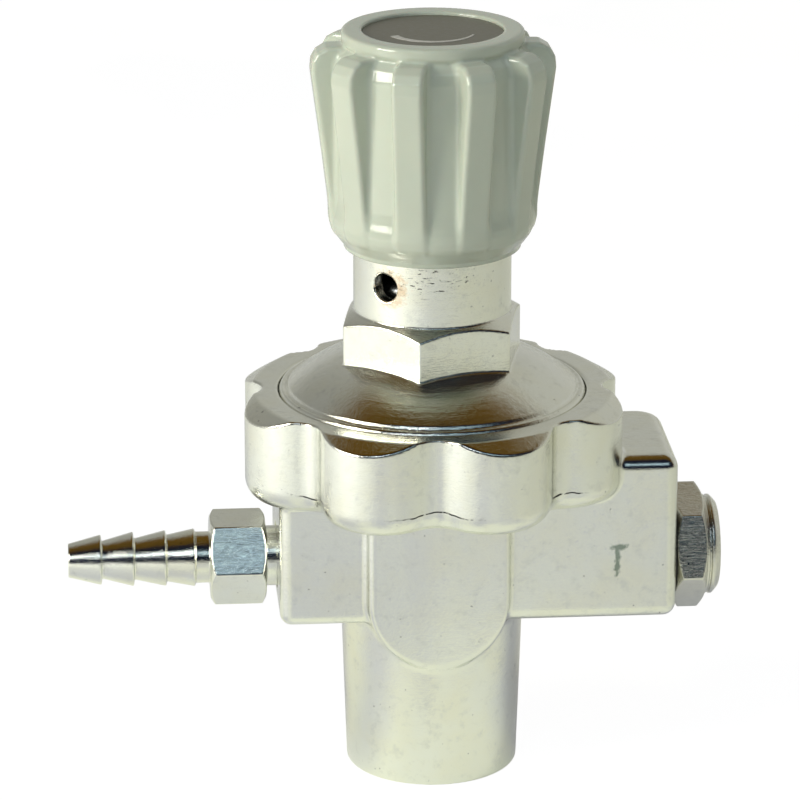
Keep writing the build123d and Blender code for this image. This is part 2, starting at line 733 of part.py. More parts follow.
with BuildPart() as knob_label:
    with BuildSketch(Plane.XY.offset(LABEL_BOTTOM)):
        Circle(LABEL_R)
    extrude(amount=LABEL_TOP - LABEL_BOTTOM)

knob_label.part.label = "knob_label"
export_step(knob_label.part, "parts/knob_label.step")


# ---------------------------------------------------------------- hose tail
with BuildPart() as hose_tail:
    # Barbs rise towards the hexagon, each ending in a step
    barb_points = [TAIL_TIP]
    for crest_x, crest_r, next_r in TAIL_BARBS:
        barb_points += [(crest_x, crest_r), (crest_x, next_r)]
    revolve(
        outline(
            [(TAIL_TIP[0], TAIL_BORE_R)]
            + barb_points
            + [(TAIL_HEX_LEFT, TAIL_SHANK_R), (TAIL_HEX_RIGHT, TAIL_SHANK_R)]
            + [(TAIL_HEX_RIGHT, TAIL_NECK_R), (LEFT_END + 0.6, TAIL_NECK_R), (LEFT_END + 0.9, TAIL_THREAD_R)]
            + along(thread(TAIL_THREAD_R, TAIL_THREAD_R - PORT_THREAD_DEPTH,
                           LEFT_END + 1, TAIL_INNER_END - 0.3, PORT_PITCH))
            + [(TAIL_INNER_END, TAIL_THREAD_R - PORT_THREAD_DEPTH), (TAIL_INNER_END, TAIL_BORE_R)],
            PORT_PLANE,
        ),
        axis=PORT_AXIS,
    )
    with BuildSketch(cross_plane(TAIL_HEX_LEFT)):
        RegularPolygon(TAIL_HEX_AF / 2, 6, major_radius=False, rotation=TAIL_HEX_TURN)
        Circle(TAIL_BORE_R, mode=Mode.SUBTRACT)
    extrude(amount=TAIL_HEX_RIGHT - TAIL_HEX_LEFT)
    for end, inward in ((TAIL_HEX_LEFT, 1), (TAIL_HEX_RIGHT, -1)):
        revolve(
            outline([
                (end, TAIL_HEX_AF / 2 - 0.15),
                (end, TAIL_HEX_AF / 2 + 1.5),
                (end + inward * TAIL_HEX_CHAMFER * 1.6, TAIL_HEX_AF / 2 + 1.5),
            ], PORT_PLANE),
            axis=PORT_AXIS,
            mode=Mode.SUBTRACT,
        )

hose_tail.part.label = "hose_tail"
export_step(hose_tail.part, "parts/hose_tail.step")

with BuildPart() as hose_tail_seal:
    with BuildSketch(cross_plane(TAIL_INNER_END)):
        Circle(PORT_R - 2 * FIT)
        Circle(TAIL_SEAL_HOLE_R, mode=Mode.SUBTRACT)
    extrude(amount=LEFT_PORT_FLOOR - TAIL_INNER_END)

hose_tail_seal.part.label = "hose_tail_seal"
export_step(hose_tail_seal.part, "parts/hose_tail_seal.step")


# ---------------------------------------------------------------- relief valve
with BuildPart() as relief_valve_body:
    revolve(
        outline(
            [(RELIEF_INNER_END, RELIEF_ORIFICE_R), (RELIEF_INNER_END, TAIL_THREAD_R)]
            + along(thread(TAIL_THREAD_R, TAIL_THREAD_R - PORT_THREAD_DEPTH,
                           RELIEF_INNER_END, RIGHT_END - 1, PORT_PITCH))
            + [
                (RELIEF_HEX_LEFT, TAIL_THREAD_R),
                (RELIEF_HEX_LEFT, RELIEF_BOSS_R),
                (RELIEF_GROOVE_LEFT, RELIEF_BOSS_R),
                (RELIEF_GROOVE_LEFT, RELIEF_GROOVE_R),
                (RELIEF_GROOVE_RIGHT, RELIEF_GROOVE_R),
                (RELIEF_GROOVE_RIGHT, RELIEF_BOSS_R),
                (RELIEF_BOSS_END - RELIEF_BOSS_ROUND, RELIEF_BOSS_R),
                (RELIEF_BOSS_END, RELIEF_BOSS_R - RELIEF_BOSS_ROUND),
                (RELIEF_BOSS_END, RELIEF_BORE_R),
                (RELIEF_SEAT_X, RELIEF_BORE_R),
                (RELIEF_SEAT_X, RELIEF_ORIFICE_R),
            ],
            PORT_PLANE,
        ),
        axis=PORT_AXIS,
    )
    with BuildSketch(cross_plane(RELIEF_HEX_LEFT)):
        RegularPolygon(RELIEF_HEX_AF / 2, 6, major_radius=False, rotation=RELIEF_HEX_TURN)
        Circle(RELIEF_BORE_R, mode=Mode.SUBTRACT)
    extrude(amount=RELIEF_HEX_RIGHT - RELIEF_HEX_LEFT)
    for end, inward in ((RELIEF_HEX_LEFT, 1), (RELIEF_HEX_RIGHT, -1)):
        revolve(
            outline([
                (end, RELIEF_HEX_AF / 2 - 0.2),
                (end, RELIEF_HEX_AF / 2 + 2),
                (end + inward * RELIEF_HEX_CHAMFER * 1.8, RELIEF_HEX_AF / 2 + 2),
            ], PORT_PLANE),
            axis=PORT_AXIS,
            mode=Mode.SUBTRACT,
        )

relief_valve_body.part.label = "relief_valve_body"
export_step(relief_valve_body.part, "parts/relief_valve_body.step")

with BuildPart() as relief_valve_washer:
    with BuildSketch(cross_plane(RIGHT_END)):
        Circle(RELIEF_WASHER_R)
        Circle(PORT_R, mode=Mode.SUBTRACT)
    extrude(amount=RELIEF_WASHER_THICK)

relief_valve_washer.part.label = "relief_valve_washer"
export_step(relief_valve_washer.part, "parts/relief_valve_washer.step")

with BuildPart() as relief_poppet:
    revolve(
        outline([
            (RELIEF_DISC_RIGHT, 0),
            (RELIEF_DISC_RIGHT, RELIEF_DISC_R + FIT),
            (RELIEF_POPPET_LEFT, RELIEF_DISC_R + FIT),
            (RELIEF_POPPET_LEFT, RELIEF_POPPET_R),
            (RELIEF_POPPET_RIGHT, RELIEF_POPPET_R),
            (RELIEF_POPPET_RIGHT, RELIEF_STEM_R),
            (RELIEF_STEM_END, RELIEF_STEM_R),
            (RELIEF_STEM_END, 0),
        ], PORT_PLANE),
        axis=PORT_AXIS,
    )

relief_poppet.part.label = "relief_poppet"
export_step(relief_poppet.part, "parts/relief_poppet.step")

with BuildPart() as relief_seat_disc:
    with BuildSketch(cross_plane(RELIEF_SEAT_X + FIT)):
        Circle(RELIEF_DISC_R)
    extrude(amount=RELIEF_DISC_RIGHT - RELIEF_SEAT_X - FIT)

relief_seat_disc.part.label = "relief_seat_disc"
export_step(relief_seat_disc.part, "parts/relief_seat_disc.step")

with BuildPart() as relief_spring:
    add(coil(
        cross_plane(RELIEF_POPPET_RIGHT + SPRING_GAP),
        RELIEF_SPRING_R,
        RELIEF_SPRING_WIRE_R,
        ADJUSTER_LEFT - RELIEF_POPPET_RIGHT - 2 * SPRING_GAP,
        RELIEF_SPRING_TURNS,
    ))

relief_spring.part.label = "relief_spring"
export_step(relief_spring.part, "parts/relief_spring.step")

# Ring screw that sets the relief pressure; the gas leaves through its hexagonal hole
with BuildPart() as relief_adjuster:
    with BuildSketch(cross_plane(ADJUSTER_LEFT)):
        Circle(RELIEF_BORE_R - FIT)
        RegularPolygon(ADJUSTER_HOLE_AF / 2, 6, major_radius=False, mode=Mode.SUBTRACT)
    extrude(amount=ADJUSTER_RIGHT - ADJUSTER_LEFT)

relief_adjuster.part.label = "relief_adjuster"
export_step(relief_adjuster.part, "parts/relief_adjuster.step")
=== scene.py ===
import json
import math

import bpy
import numpy as np
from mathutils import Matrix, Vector


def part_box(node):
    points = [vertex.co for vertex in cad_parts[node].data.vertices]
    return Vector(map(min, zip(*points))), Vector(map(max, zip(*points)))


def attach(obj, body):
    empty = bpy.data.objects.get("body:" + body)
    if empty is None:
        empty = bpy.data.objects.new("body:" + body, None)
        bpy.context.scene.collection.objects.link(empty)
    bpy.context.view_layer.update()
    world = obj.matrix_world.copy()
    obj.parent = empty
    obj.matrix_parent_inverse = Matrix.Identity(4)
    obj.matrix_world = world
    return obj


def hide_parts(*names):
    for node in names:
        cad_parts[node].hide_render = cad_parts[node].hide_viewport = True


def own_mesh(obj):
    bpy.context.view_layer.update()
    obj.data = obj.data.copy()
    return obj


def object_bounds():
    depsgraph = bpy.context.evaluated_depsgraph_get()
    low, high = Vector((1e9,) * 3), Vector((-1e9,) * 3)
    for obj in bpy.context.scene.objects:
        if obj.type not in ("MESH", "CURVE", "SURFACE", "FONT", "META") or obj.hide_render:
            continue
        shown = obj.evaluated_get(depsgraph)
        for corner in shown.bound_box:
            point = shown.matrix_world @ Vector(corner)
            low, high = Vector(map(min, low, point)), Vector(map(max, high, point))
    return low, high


# A carbon dioxide regulator for disposable bottles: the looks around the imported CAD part.
#
# The visible pieces are sculpted as distance fields, in millimetres and in the CAD frame, and
# turned into meshes by surface nets. Hidden pieces keep their CAD meshes and get materials.

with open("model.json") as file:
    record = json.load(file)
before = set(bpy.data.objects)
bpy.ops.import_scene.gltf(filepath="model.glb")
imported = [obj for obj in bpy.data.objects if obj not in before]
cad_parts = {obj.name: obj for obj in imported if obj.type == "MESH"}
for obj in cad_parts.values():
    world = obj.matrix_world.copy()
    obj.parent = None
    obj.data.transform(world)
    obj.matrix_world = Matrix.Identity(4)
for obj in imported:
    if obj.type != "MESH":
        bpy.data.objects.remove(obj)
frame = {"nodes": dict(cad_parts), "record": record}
cad_low, cad_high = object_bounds()

MM = 0.001


def box_mm(node):
    """A node's lowest and highest corner, in millimetres."""
    low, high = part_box(node)
    return low / MM, high / MM


# ---------------------------------------------------------------- places read from the frame
bonnet_low, bonnet_high = box_mm("bonnet")
tail_low, tail_high = box_mm("hose_tail")
relief_low, relief_high = box_mm("relief_valve_body")
washer_low, washer_high = box_mm("relief_valve_washer")
PORT_Z = (washer_low.z + washer_high.z) / 2
ARM_END = box_mm("body_casting")[1].x
FLANGE_TOP = box_mm("body_casting")[1].z
KNOB_TOP = box_mm("knob")[1].z
LABEL_TOP = box_mm("knob_label")[1].z
FAR = 60.0  # well past the end of a part that another shape trims
THREAD_SLOPE = 0.8  # flattens a threaded field, which is steeper than a true distance


# ---------------------------------------------------------------- distance field tools
def round_union(a, b, r):
    """Both shapes, with a fillet of radius r where they meet."""
    return np.maximum(r, np.minimum(a, b)) - np.hypot(np.maximum(r - a, 0), np.maximum(r - b, 0))


def round_common(a, b, r):
    """What two shapes share, with its edge rounded to radius r."""
    return np.minimum(-r, np.maximum(a, b)) + np.hypot(np.maximum(r + a, 0), np.maximum(r + b, 0))


def round_cut(a, b, r):
    """The first shape without the second, with the edge of the cut rounded to radius r."""
    return round_common(a, -b, r)


def inset(points, r):
    """A closed polygon moved inwards by r."""
    area = sum(p[0] * q[1] - q[0] * p[1] for p, q in zip(points, points[1:] + points[:1]))
    turn = 1 if area > 0 else -1
    moved = []
    for before, here, after in zip(points[-1:] + points[:-1], points, points[1:] + points[:1]):
        first = np.subtract(here, before) / math.dist(here, before)
        second = np.subtract(after, here) / math.dist(after, here)
        normal = turn * np.array([-first[1] - second[1], first[0] + second[0]])
        moved.append(tuple(np.array(here) + normal * r / (1 + first @ second)))
    return moved


def polygon(u, v, points, r=0.0):
    """Signed distance to a closed polygon whose outer corners are rounded to radius r."""
    points = inset(list(points), r) if r else list(points)
    nearest = np.full(u.shape, 1e9)
    inside = np.zeros(u.shape, bool)
    for (u0, v0), (u1, v1) in zip(points, points[1:] + points[:1]):
        du, dv = u1 - u0, v1 - v0
        along = np.clip(((u - u0) * du + (v - v0) * dv) / (du * du + dv * dv), 0, 1)
        nearest = np.minimum(nearest, (u - u0 - along * du) ** 2 + (v - v0 - along * dv) ** 2)
        if dv:
            inside ^= ((v0 > v) != (v1 > v)) & (u < u0 + (v - v0) * du / dv)
    return np.where(inside, -1, 1) * np.sqrt(nearest) - r


def hexagon(u, v, across_flats, turn, r):
    """Signed distance to a hexagon whose first corner is turned by so many degrees."""
    corner = across_flats / math.sqrt(3)
    angles = [math.radians(turn + 60 * k) for k in range(6)]
    return polygon(u, v, [(corner * math.cos(a), corner * math.sin(a)) for a in angles], r)


def cone_cut(radius, place, edge_radius, edge_place, angle, outward=1):
    """Distance past a cone that chamfers an edge: positive is cut away."""
    a = math.radians(angle)
    return (radius - edge_radius) * math.sin(a) + outward * (place - edge_place) * math.cos(a)


def arc(start, middle, end, count):
    """Points on the circle through three points, from the first to the last."""
    (ax, ay), (bx, by), (cx, cy) = start, middle, end
    d = 2 * (ax * (by - cy) + bx * (cy - ay) + cx * (ay - by))
    sa, sb, sc = ax * ax + ay * ay, bx * bx + by * by, cx * cx + cy * cy
    ox = (sa * (by - cy) + sb * (cy - ay) + sc * (ay - by)) / d
    oy = (sa * (cx - bx) + sb * (ax - cx) + sc * (bx - ax)) / d
    a0 = math.atan2(ay - oy, ax - ox)
    sweep = (math.atan2(cy - oy, cx - ox) - a0 + math.pi) % (2 * math.pi) - math.pi
    radius = math.hypot(ax - ox, ay - oy)
    steps = [a0 + sweep * k / (count - 1) for k in range(count)]
    return [(ox + radius * math.cos(a), oy + radius * math.sin(a)) for a in steps]


def rounded_rectangle(u, v, low, high, r):
    """Signed distance to a rectangle with rounded corners."""
    du = np.abs(u - (low[0] + high[0]) / 2) - (high[0] - low[0]) / 2 + r
    dv = np.abs(v - (low[1] + high[1]) / 2) - (high[1] - low[1]) / 2 + r
    return np.hypot(np.maximum(du, 0), np.maximum(dv, 0)) + np.minimum(np.maximum(du, dv), 0) - r


def screw_groove(place, angle, pitch, depth):
    """How far a right-handed V thread reaches past its land, at a place along and an angle round it."""
    phase = (place / pitch - angle / (2 * math.pi)) % 1.0
    return depth * np.clip(1 - 4 * np.abs(phase - 0.5), 0, 1)


# ---------------------------------------------------------------- surface nets
BLOCK = 8
CORNERS = np.array([(i, j, k) for i in (0, 1) for j in (0, 1) for k in (0, 1)])
CELL_EDGES = [(a, b) for a in range(8) for b in range(a + 1, 8) if abs(CORNERS[a] - CORNERS[b]).sum() == 1]
PROJECTION_STEPS = 3
PROBE = 0.02


def sampled(field, low, blocks, step):
    """The field on a grid, worked out only in the blocks that the surface may cross."""
    size = BLOCK * step
    centres = [low[a] + size * (np.arange(blocks[a]) + 0.5) for a in range(3)]
    coarse = field(*np.meshgrid(*centres, indexing="ij"))
    values = coarse
    for axis in range(3):
        values = np.repeat(values, BLOCK, axis)
    values = np.pad(values, [(0, 1)] * 3, mode="edge")
    offsets = np.stack(np.meshgrid(*[np.arange(BLOCK + 1)] * 3, indexing="ij"), -1)
    near = np.argwhere(np.abs(coarse) < size * math.sqrt(3) / 2 * 1.15 + step)
    for chunk in np.array_split(near, max(1, len(near) // 200)):
        corner = chunk * BLOCK
        places = low + step * (corner[:, None, None, None, :] + offsets)
        found = field(places[..., 0], places[..., 1], places[..., 2])
        for (i, j, k), block in zip(corner, found):
            values[i:i + BLOCK + 1, j:j + BLOCK + 1, k:k + BLOCK + 1] = block
    return values


def projected(field, points):
    """Points moved along the field's slope onto the surface."""
    for _ in range(PROJECTION_STEPS):
        x, y, z = points.T
        here = field(x, y, z)
        slope = np.stack([
            field(x + PROBE, y, z) - field(x - PROBE, y, z),
            field(x, y + PROBE, z) - field(x, y - PROBE, z),
            field(x, y, z + PROBE) - field(x, y, z - PROBE),
        ], 1) / (2 * PROBE)
        strength = np.maximum((slope ** 2).sum(1), 0.25)
        points = points - slope * (here / strength)[:, None]
    return points


def surface_net(field, low, high, step):
    """Vertices, in millimetres, and outward quads of the surface where the field is zero."""
    low = np.array(low, float) - 2 * step
    blocks = np.ceil((np.array(high, float) + 2 * step - low) / (step * BLOCK)).astype(int)
    values = sampled(field, low, blocks, step)
    inside = values < 0
    n = np.array(inside.shape) - 1
    count = sum(
        inside[i:i + n[0], j:j + n[1], k:k + n[2]].astype(np.uint8) for i, j, k in CORNERS
    )
    cells = np.argwhere((count > 0) & (count < 8))
    ids = np.full(tuple(n), -1, np.int32)
    ids[tuple(cells.T)] = np.arange(len(cells))
    total, hits = np.zeros(cells.shape), np.zeros(len(cells))
    for a, b in CELL_EDGES:
        va = values[tuple((cells + CORNERS[a]).T)]
        vb = values[tuple((cells + CORNERS[b]).T)]
        crossed = (va < 0) != (vb < 0)
        share = np.where(crossed, va / np.where(crossed, va - vb, 1), 0)
        place = CORNERS[a] + share[:, None] * (CORNERS[b] - CORNERS[a])
        total += np.where(crossed[:, None], place, 0)
        hits += crossed
    vertices = projected(field, low + step * (cells + total / hits[:, None]))
    quads = []
    for axis in range(3):
        first, second = np.eye(3, dtype=int)[(axis + 1) % 3], np.eye(3, dtype=int)[(axis + 2) % 3]
        here = np.moveaxis(inside, axis, 0)
        changes = np.moveaxis(here[:-1] != here[1:], 0, axis)
        edges = np.argwhere(changes)
        outward = inside[tuple(edges.T)]
        ring = [edges - first - second, edges - second, edges, edges - first]
        quad = np.stack([ids[tuple(corner.T)] for corner in ring], 1)
        quads.append(np.where(outward[:, None], quad, quad[:, ::-1]))
    return vertices, np.concatenate(quads)


def mesh_object(name, vertices, quads):
    """A smooth-shaded mesh object from vertices in millimetres and quads."""
    mesh = bpy.data.meshes.new(name)
    mesh.vertices.add(len(vertices))
    mesh.vertices.foreach_set("co", (vertices * MM).astype(np.float32).ravel())
    mesh.loops.add(quads.size)
    mesh.loops.foreach_set("vertex_index", quads.astype(np.int32).ravel())
    mesh.polygons.add(len(quads))
    mesh.polygons.foreach_set("loop_start", np.arange(0, quads.size, 4, dtype=np.int32))
    mesh.update(calc_edges=True)
    mesh.validate()
    mesh.shade_smooth()
    piece = bpy.data.objects.new(name, mesh)
    bpy.context.scene.collection.objects.link(piece)
    return piece


def sculpt(name, node, field, step, body, material):
    """A piece made from a field inside its CAD node's box, which it stands for."""
    low, high = box_mm(node)
    piece = mesh_object(name, *surface_net(field, low, high, step))
    piece.data.materials.append(material)
    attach(piece, body)
    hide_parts(node)


# ---------------------------------------------------------------- node helpers
def new_material(name):
    """A node material that holds only an output and a Principled shader."""
    material = bpy.data.materials.new(name)
    material.use_nodes = True
    tree = material.node_tree
    tree.nodes.clear()
    output = tree.nodes.new("ShaderNodeOutputMaterial")
    shader = tree.nodes.new("ShaderNodeBsdfPrincipled")
    tree.links.new(shader.outputs["BSDF"], output.inputs["Surface"])
    return material, tree, shader


def set_inputs(node, **values):
    """Sets sockets by name, with underscores for spaces."""
    for name, value in values.items():
        node.inputs[name.replace("_", " ")].default_value = value


def place_node(tree, scale=(1, 1, 1)):
    """Object coordinates in millimetres, stretched by a scale for each axis."""
    place = tree.nodes.new("ShaderNodeTexCoord")
    mapping = tree.nodes.new("ShaderNodeMapping")
    mapping.inputs["Scale"].default_value = tuple(s / MM for s in scale)
    tree.links.new(place.outputs["Object"], mapping.inputs["Vector"])
    return mapping.outputs["Vector"]


def noise(tree, vector, scale, detail=3.0, roughness=0.55, distortion=0.0):
    """A noise texture's value, with its scale in waves for each millimetre."""
    node = tree.nodes.new("ShaderNodeTexNoise")
    set_inputs(node, Scale=scale, Detail=detail, Roughness=roughness, Distortion=distortion)
    tree.links.new(vector, node.inputs["Vector"])
    return node.outputs["Fac"]


def remap(tree, value, low, high, to_low, to_high):
    """A value mapped from one range to another, held at its ends."""
    node = tree.nodes.new("ShaderNodeMapRange")
    set_inputs(node, From_Min=low, From_Max=high, To_Min=to_low, To_Max=to_high)
    tree.links.new(value, node.inputs["Value"])
    return node.outputs["Result"]


def maths(tree, operation, first, second=None):
    """One Math node on values or numbers."""
    node = tree.nodes.new("ShaderNodeMath")
    node.operation = operation
    for socket, value in zip(node.inputs, (first, second)):
        if value is None:
            continue
        if isinstance(value, (int, float)):
            socket.default_value = value
        else:
            tree.links.new(value, socket)
    return node.outputs["Value"]


def tint(tree, factor, first, second):
    """A colour between two, by a factor. A colour is three numbers or another node's output."""
    node = tree.nodes.new("ShaderNodeMix")
    node.data_type = "RGBA"
    tree.links.new(factor, node.inputs["Factor"])
    for socket, colour in ((node.inputs[6], first), (node.inputs[7], second)):
        if isinstance(colour, tuple):
            socket.default_value = (*colour, 1)
        else:
            tree.links.new(colour, socket)
    return node.outputs[2]


def bump(tree, shader, height, distance, strength=1.0, under=None):
    """A bump of so many millimetres, on top of another bump if one is given."""
    node = tree.nodes.new("ShaderNodeBump")
    set_inputs(node, Strength=strength, Distance=distance * MM)
    tree.links.new(height, node.inputs["Height"])
    if under is not None:
        tree.links.new(under, node.inputs["Normal"])
    tree.links.new(node.outputs["Normal"], shader.inputs["Normal"])
    return node.outputs["Normal"]


# ---------------------------------------------------------------- the casting
ARM_START = -22.8
FLANGE_REACH = 28.6
SKIRT_R = 12.5
SKIRT_DRAFT = 0.033
ARM_HALF_WIDTH = 11.5
LEFT_BOTTOM, RIGHT_BOTTOM = 25.0, 24.8
RIGHT_TOP = 49.5
PAD_R, PAD_CENTRE_Z, PAD_HALF_DEPTH = 10.2, 28.9, 13.8
LOBES, LOBE_R, LOBE_TURN, VALLEY_ROUND = 8, 9.0, -3.0, 3.2
FLANGE_BOTTOM, FLANGE_FLAT_R = 43.3, 26.0
FLANGE_CHAMFER_ANGLE = 31.0
INLET_R, INLET_LENGTH, INLET_PITCH, INLET_DEPTH = 4.5, 13.0, 1.0, 0.45
PORT_R = 4.95
LEFT_FLOOR, RIGHT_FLOOR, CROSS_X, CROSS_R = -11.0, 22.0, 12.0, 1.2
CROSS_Z, CROSS_HALF = 39.0, 7.0
LINK_X, LINK_HALF = 17.0, 5.5
CAVITY = [(-5, 13), (5.25, 13), (5.25, 15), (3, 15), (3, 19.5), (1.5, 19.5), (1.5, 28), (4, 28), (4, 44.3),
          (5.4, 44.3), (5.4, 45.5), (17.5, 45.5), (17.5, 49.5), (22.3, 49.5), (22.3, 60), (-5, 60)]

# Where the casting's parts end inside each other, and the radii of its edges and fillets
SKIRT_TOP, ARM_OVERLAP = 50.0, 9.0
SKIRT_EDGE, SKIRT_FILLET = 0.6, 1.5
LEFT_CORNER, LEFT_EDGE = 1.8, 1.6
RIGHT_CORNER_FRONT, RIGHT_CORNER_BACK, RIGHT_EDGE = 1.9, 4.0, 2.0
PAD_EDGE, PAD_FILLET = 0.9, 1.1
FLANGE_EDGE, FLANGE_CHAMFER_EDGE, FLANGE_FILLET = 3.3, 0.22, 0.7
CAVITY_EDGE, INLET_EDGE, PORT_EDGE = 0.3, 0.35, 0.25
FLANGE_INSET = 0.004  # keeps the lobes inside the CAD box


def lobed_outline(x, y):
    """Signed distance, seen from above, to the flange's eight lobes with their filleted valleys."""
    half = math.pi / LOBES
    angle = np.abs(((np.arctan2(y, x) - math.radians(LOBE_TURN)) % (2 * half)) - half)
    radius = np.hypot(x, y)
    u, v = radius * np.cos(angle), radius * np.sin(angle)
    centre = FLANGE_REACH - LOBE_R
    own = np.hypot(u - centre, v) - LOBE_R
    other = np.hypot(u - centre * math.cos(2 * half), v - centre * math.sin(2 * half)) - LOBE_R
    return np.minimum(round_union(own, other, VALLEY_ROUND), radius - centre)


def casting(x, y, z):
    """Skirt, arms, pads and lobed flange in one, with the hollow, the inlet's thread and the ports cut out."""
    radius, angle = np.hypot(x, y), np.arctan2(y, x)
    skirt = round_common(radius - SKIRT_R - SKIRT_DRAFT * z, -z, SKIRT_EDGE)
    skirt = np.maximum(skirt, z - SKIRT_TOP)
    left = round_common(
        rounded_rectangle(x, y, (ARM_START, -ARM_HALF_WIDTH), (ARM_OVERLAP, ARM_HALF_WIDTH), LEFT_CORNER),
        rounded_rectangle(z, x, (LEFT_BOTTOM, -FAR), (FAR, FAR), 0.1), LEFT_EDGE)
    corner = np.where(y > 0, RIGHT_CORNER_BACK, RIGHT_CORNER_FRONT)
    right = round_common(
        rounded_rectangle(x, y, (-ARM_OVERLAP, -ARM_HALF_WIDTH), (ARM_END, ARM_HALF_WIDTH), corner),
        np.abs(z - (RIGHT_BOTTOM + RIGHT_TOP) / 2) - (RIGHT_TOP - RIGHT_BOTTOM) / 2, RIGHT_EDGE)
    arms = np.maximum(np.minimum(left, right), z - RIGHT_TOP)
    pad = np.where(z > PAD_CENTRE_Z, np.abs(x), np.hypot(x, z - PAD_CENTRE_Z)) - PAD_R
    pad = np.maximum(round_common(pad, np.abs(y) - PAD_HALF_DEPTH, PAD_EDGE), z - RIGHT_TOP)
    shape = round_union(skirt, arms, SKIRT_FILLET)
    shape = round_union(shape, pad, PAD_FILLET)

    flange = round_common(lobed_outline(x, y) + FLANGE_INSET, FLANGE_BOTTOM - z, FLANGE_EDGE)
    chamfer = cone_cut(radius, z, FLANGE_FLAT_R, FLANGE_TOP, FLANGE_CHAMFER_ANGLE)
    flange = np.maximum(round_common(flange, chamfer, FLANGE_CHAMFER_EDGE), z - FLANGE_TOP)
    shape = round_union(shape, flange, FLANGE_FILLET)

    shape = round_cut(shape, polygon(radius, z, CAVITY), CAVITY_EDGE)
    reach = INLET_R + screw_groove(z, angle, INLET_PITCH, INLET_DEPTH)
    inlet = np.maximum((radius - reach) * THREAD_SLOPE, z - INLET_LENGTH)
    shape = round_cut(shape, inlet, INLET_EDGE)

    across = np.hypot(y, z - PORT_Z)
    left_port = np.maximum(across - PORT_R, x - LEFT_FLOOR)
    right_port = np.maximum(across - PORT_R, RIGHT_FLOOR - x)
    cross = np.maximum(np.hypot(np.abs(x) - CROSS_X, y) - CROSS_R, np.abs(z - CROSS_Z) - CROSS_HALF)
    link = np.maximum(across - CROSS_R, np.abs(x - LINK_X) - LINK_HALF)
    ports = np.minimum(np.minimum(left_port, right_port), np.minimum(cross, link))
    return round_cut(shape, ports, PORT_EDGE)


# ---------------------------------------------------------------- the bonnet
BONNET_HEX, BONNET_HEX_TURN = 24.0, 18.0
BONNET_HEX_BOTTOM, BONNET_HEX_TOP = 60.0, 69.4
BARREL_R = 11.35
VENT_R, VENT_Z, VENT_AZIMUTH = 2.0, 75.0, -131.5
BONNET_HEX_CHAMFER_R, BONNET_HEX_CHAMFER_ANGLE = BONNET_HEX / 2 - 0.4, 30
RIM_TOP = 57.2
RIM_GROOVE = [(21.85, 57.75), (21.45, 57.75), (21.2, 57.5), (20.95, 57.9)]
DOME = [(20.8, 58.2), (17.2, 60.65), (12.0, 62.75)]
CROWN_R, CROWN_Z = 9.0, 66.0
BONNET_HOLLOW = [(-5, 40), (17.8, 40), (17.8, 52.5), (9.3, 60.5), (9.3, 82), (4.1, 82), (4.1, 95), (-5, 95)]
VENT_INNER_END = 4.0
RIM_EDGE, BONNET_HEX_CORNER, BONNET_HEX_EDGE, BONNET_HEX_CHAMFER_EDGE = 0.15, 0.3, 0.15, 0.12
BARREL_EDGE, BONNET_HEX_FILLET, BARREL_FILLET, VENT_EDGE = 0.4, 0.25, 0.35, 0.3


def bonnet_field(x, y, z):
    """The domed bonnet with its hexagon and barrel, hollow inside, with one vent hole."""
    radius = np.hypot(x, y)
    outline = [(-5, bonnet_low.z), (bonnet_high.x, bonnet_low.z), (bonnet_high.x, RIM_TOP), *RIM_GROOVE,
               *arc(*DOME, 9), (CROWN_R, CROWN_Z), (-5, CROWN_Z)]
    dome = polygon(radius, z, outline, RIM_EDGE)
    hexa = hexagon(x, y, BONNET_HEX, BONNET_HEX_TURN, BONNET_HEX_CORNER)
    hexa = np.maximum(hexa, BONNET_HEX_BOTTOM - z)
    hexa = round_common(hexa, z - BONNET_HEX_TOP, BONNET_HEX_EDGE)
    chamfer = cone_cut(radius, z, BONNET_HEX_CHAMFER_R, BONNET_HEX_TOP, BONNET_HEX_CHAMFER_ANGLE)
    hexa = round_common(hexa, chamfer, BONNET_HEX_CHAMFER_EDGE)
    barrel = np.maximum(radius - BARREL_R, np.maximum(BONNET_HEX_BOTTOM - z, z - bonnet_high.z))
    barrel = round_common(barrel, z - bonnet_high.z, BARREL_EDGE)
    shape = round_union(dome, hexa, BONNET_HEX_FILLET)
    shape = round_union(shape, barrel, BARREL_FILLET)
    shape = np.maximum(shape, -polygon(radius, z, BONNET_HOLLOW))
    way = math.radians(VENT_AZIMUTH)
    along = x * math.cos(way) + y * math.sin(way)
    vent = np.hypot(y * math.cos(way) - x * math.sin(way), z - VENT_Z) - VENT_R
    return round_cut(shape, np.maximum(vent, VENT_INNER_END - along), VENT_EDGE)


# ---------------------------------------------------------------- the knob
RIBS, RIB_TURN, RIB_WIDTH = 10, -107.0, 4.5
KNOB_RIM_R, KNOB_RIM_BOTTOM = 13.0, 108.6
KNOB_HOLLOW = [(-5, 60), (12, 60), (12, 96), (5.05, 96), (5.05, 99), (4.05, 99), (4.05, 103), (9, 103),
               (9, 109.5), (10.05, 109.5), (10.05, 130), (-5, 130)]
KNOB_CORE = [(-5, 78.8), (12.7, 78.8), (12.85, 79.5), (13.5, 80.3), (14.15, 81.2), (14.55, 82.1), (14.7, 83.0),
             (14.6, 84.0), (14.3, 85.2), (14.1, 86.6), (14.1, 105.6), (13.75, 107.2), (12.9, 108.0),
             (12.6, 108.3), (12.6, 108.8), (-5, 108.8)]
RIB_OUTLINE = [(12.0, 81.4), (14.2, 81.6), (14.75, 83.4), (15.05, 86.6), (15.9, 93.6), (17.4, 104.9),
               (17.25, 106.5), (16.55, 107.7), (15.2, 108.5), (12.0, 108.6)]
CORE_ROUND, RIM_ROUND, RIB_TOP_ROUND, RIB_SIDE_ROUND = 0.25, 0.55, 0.5, 0.65
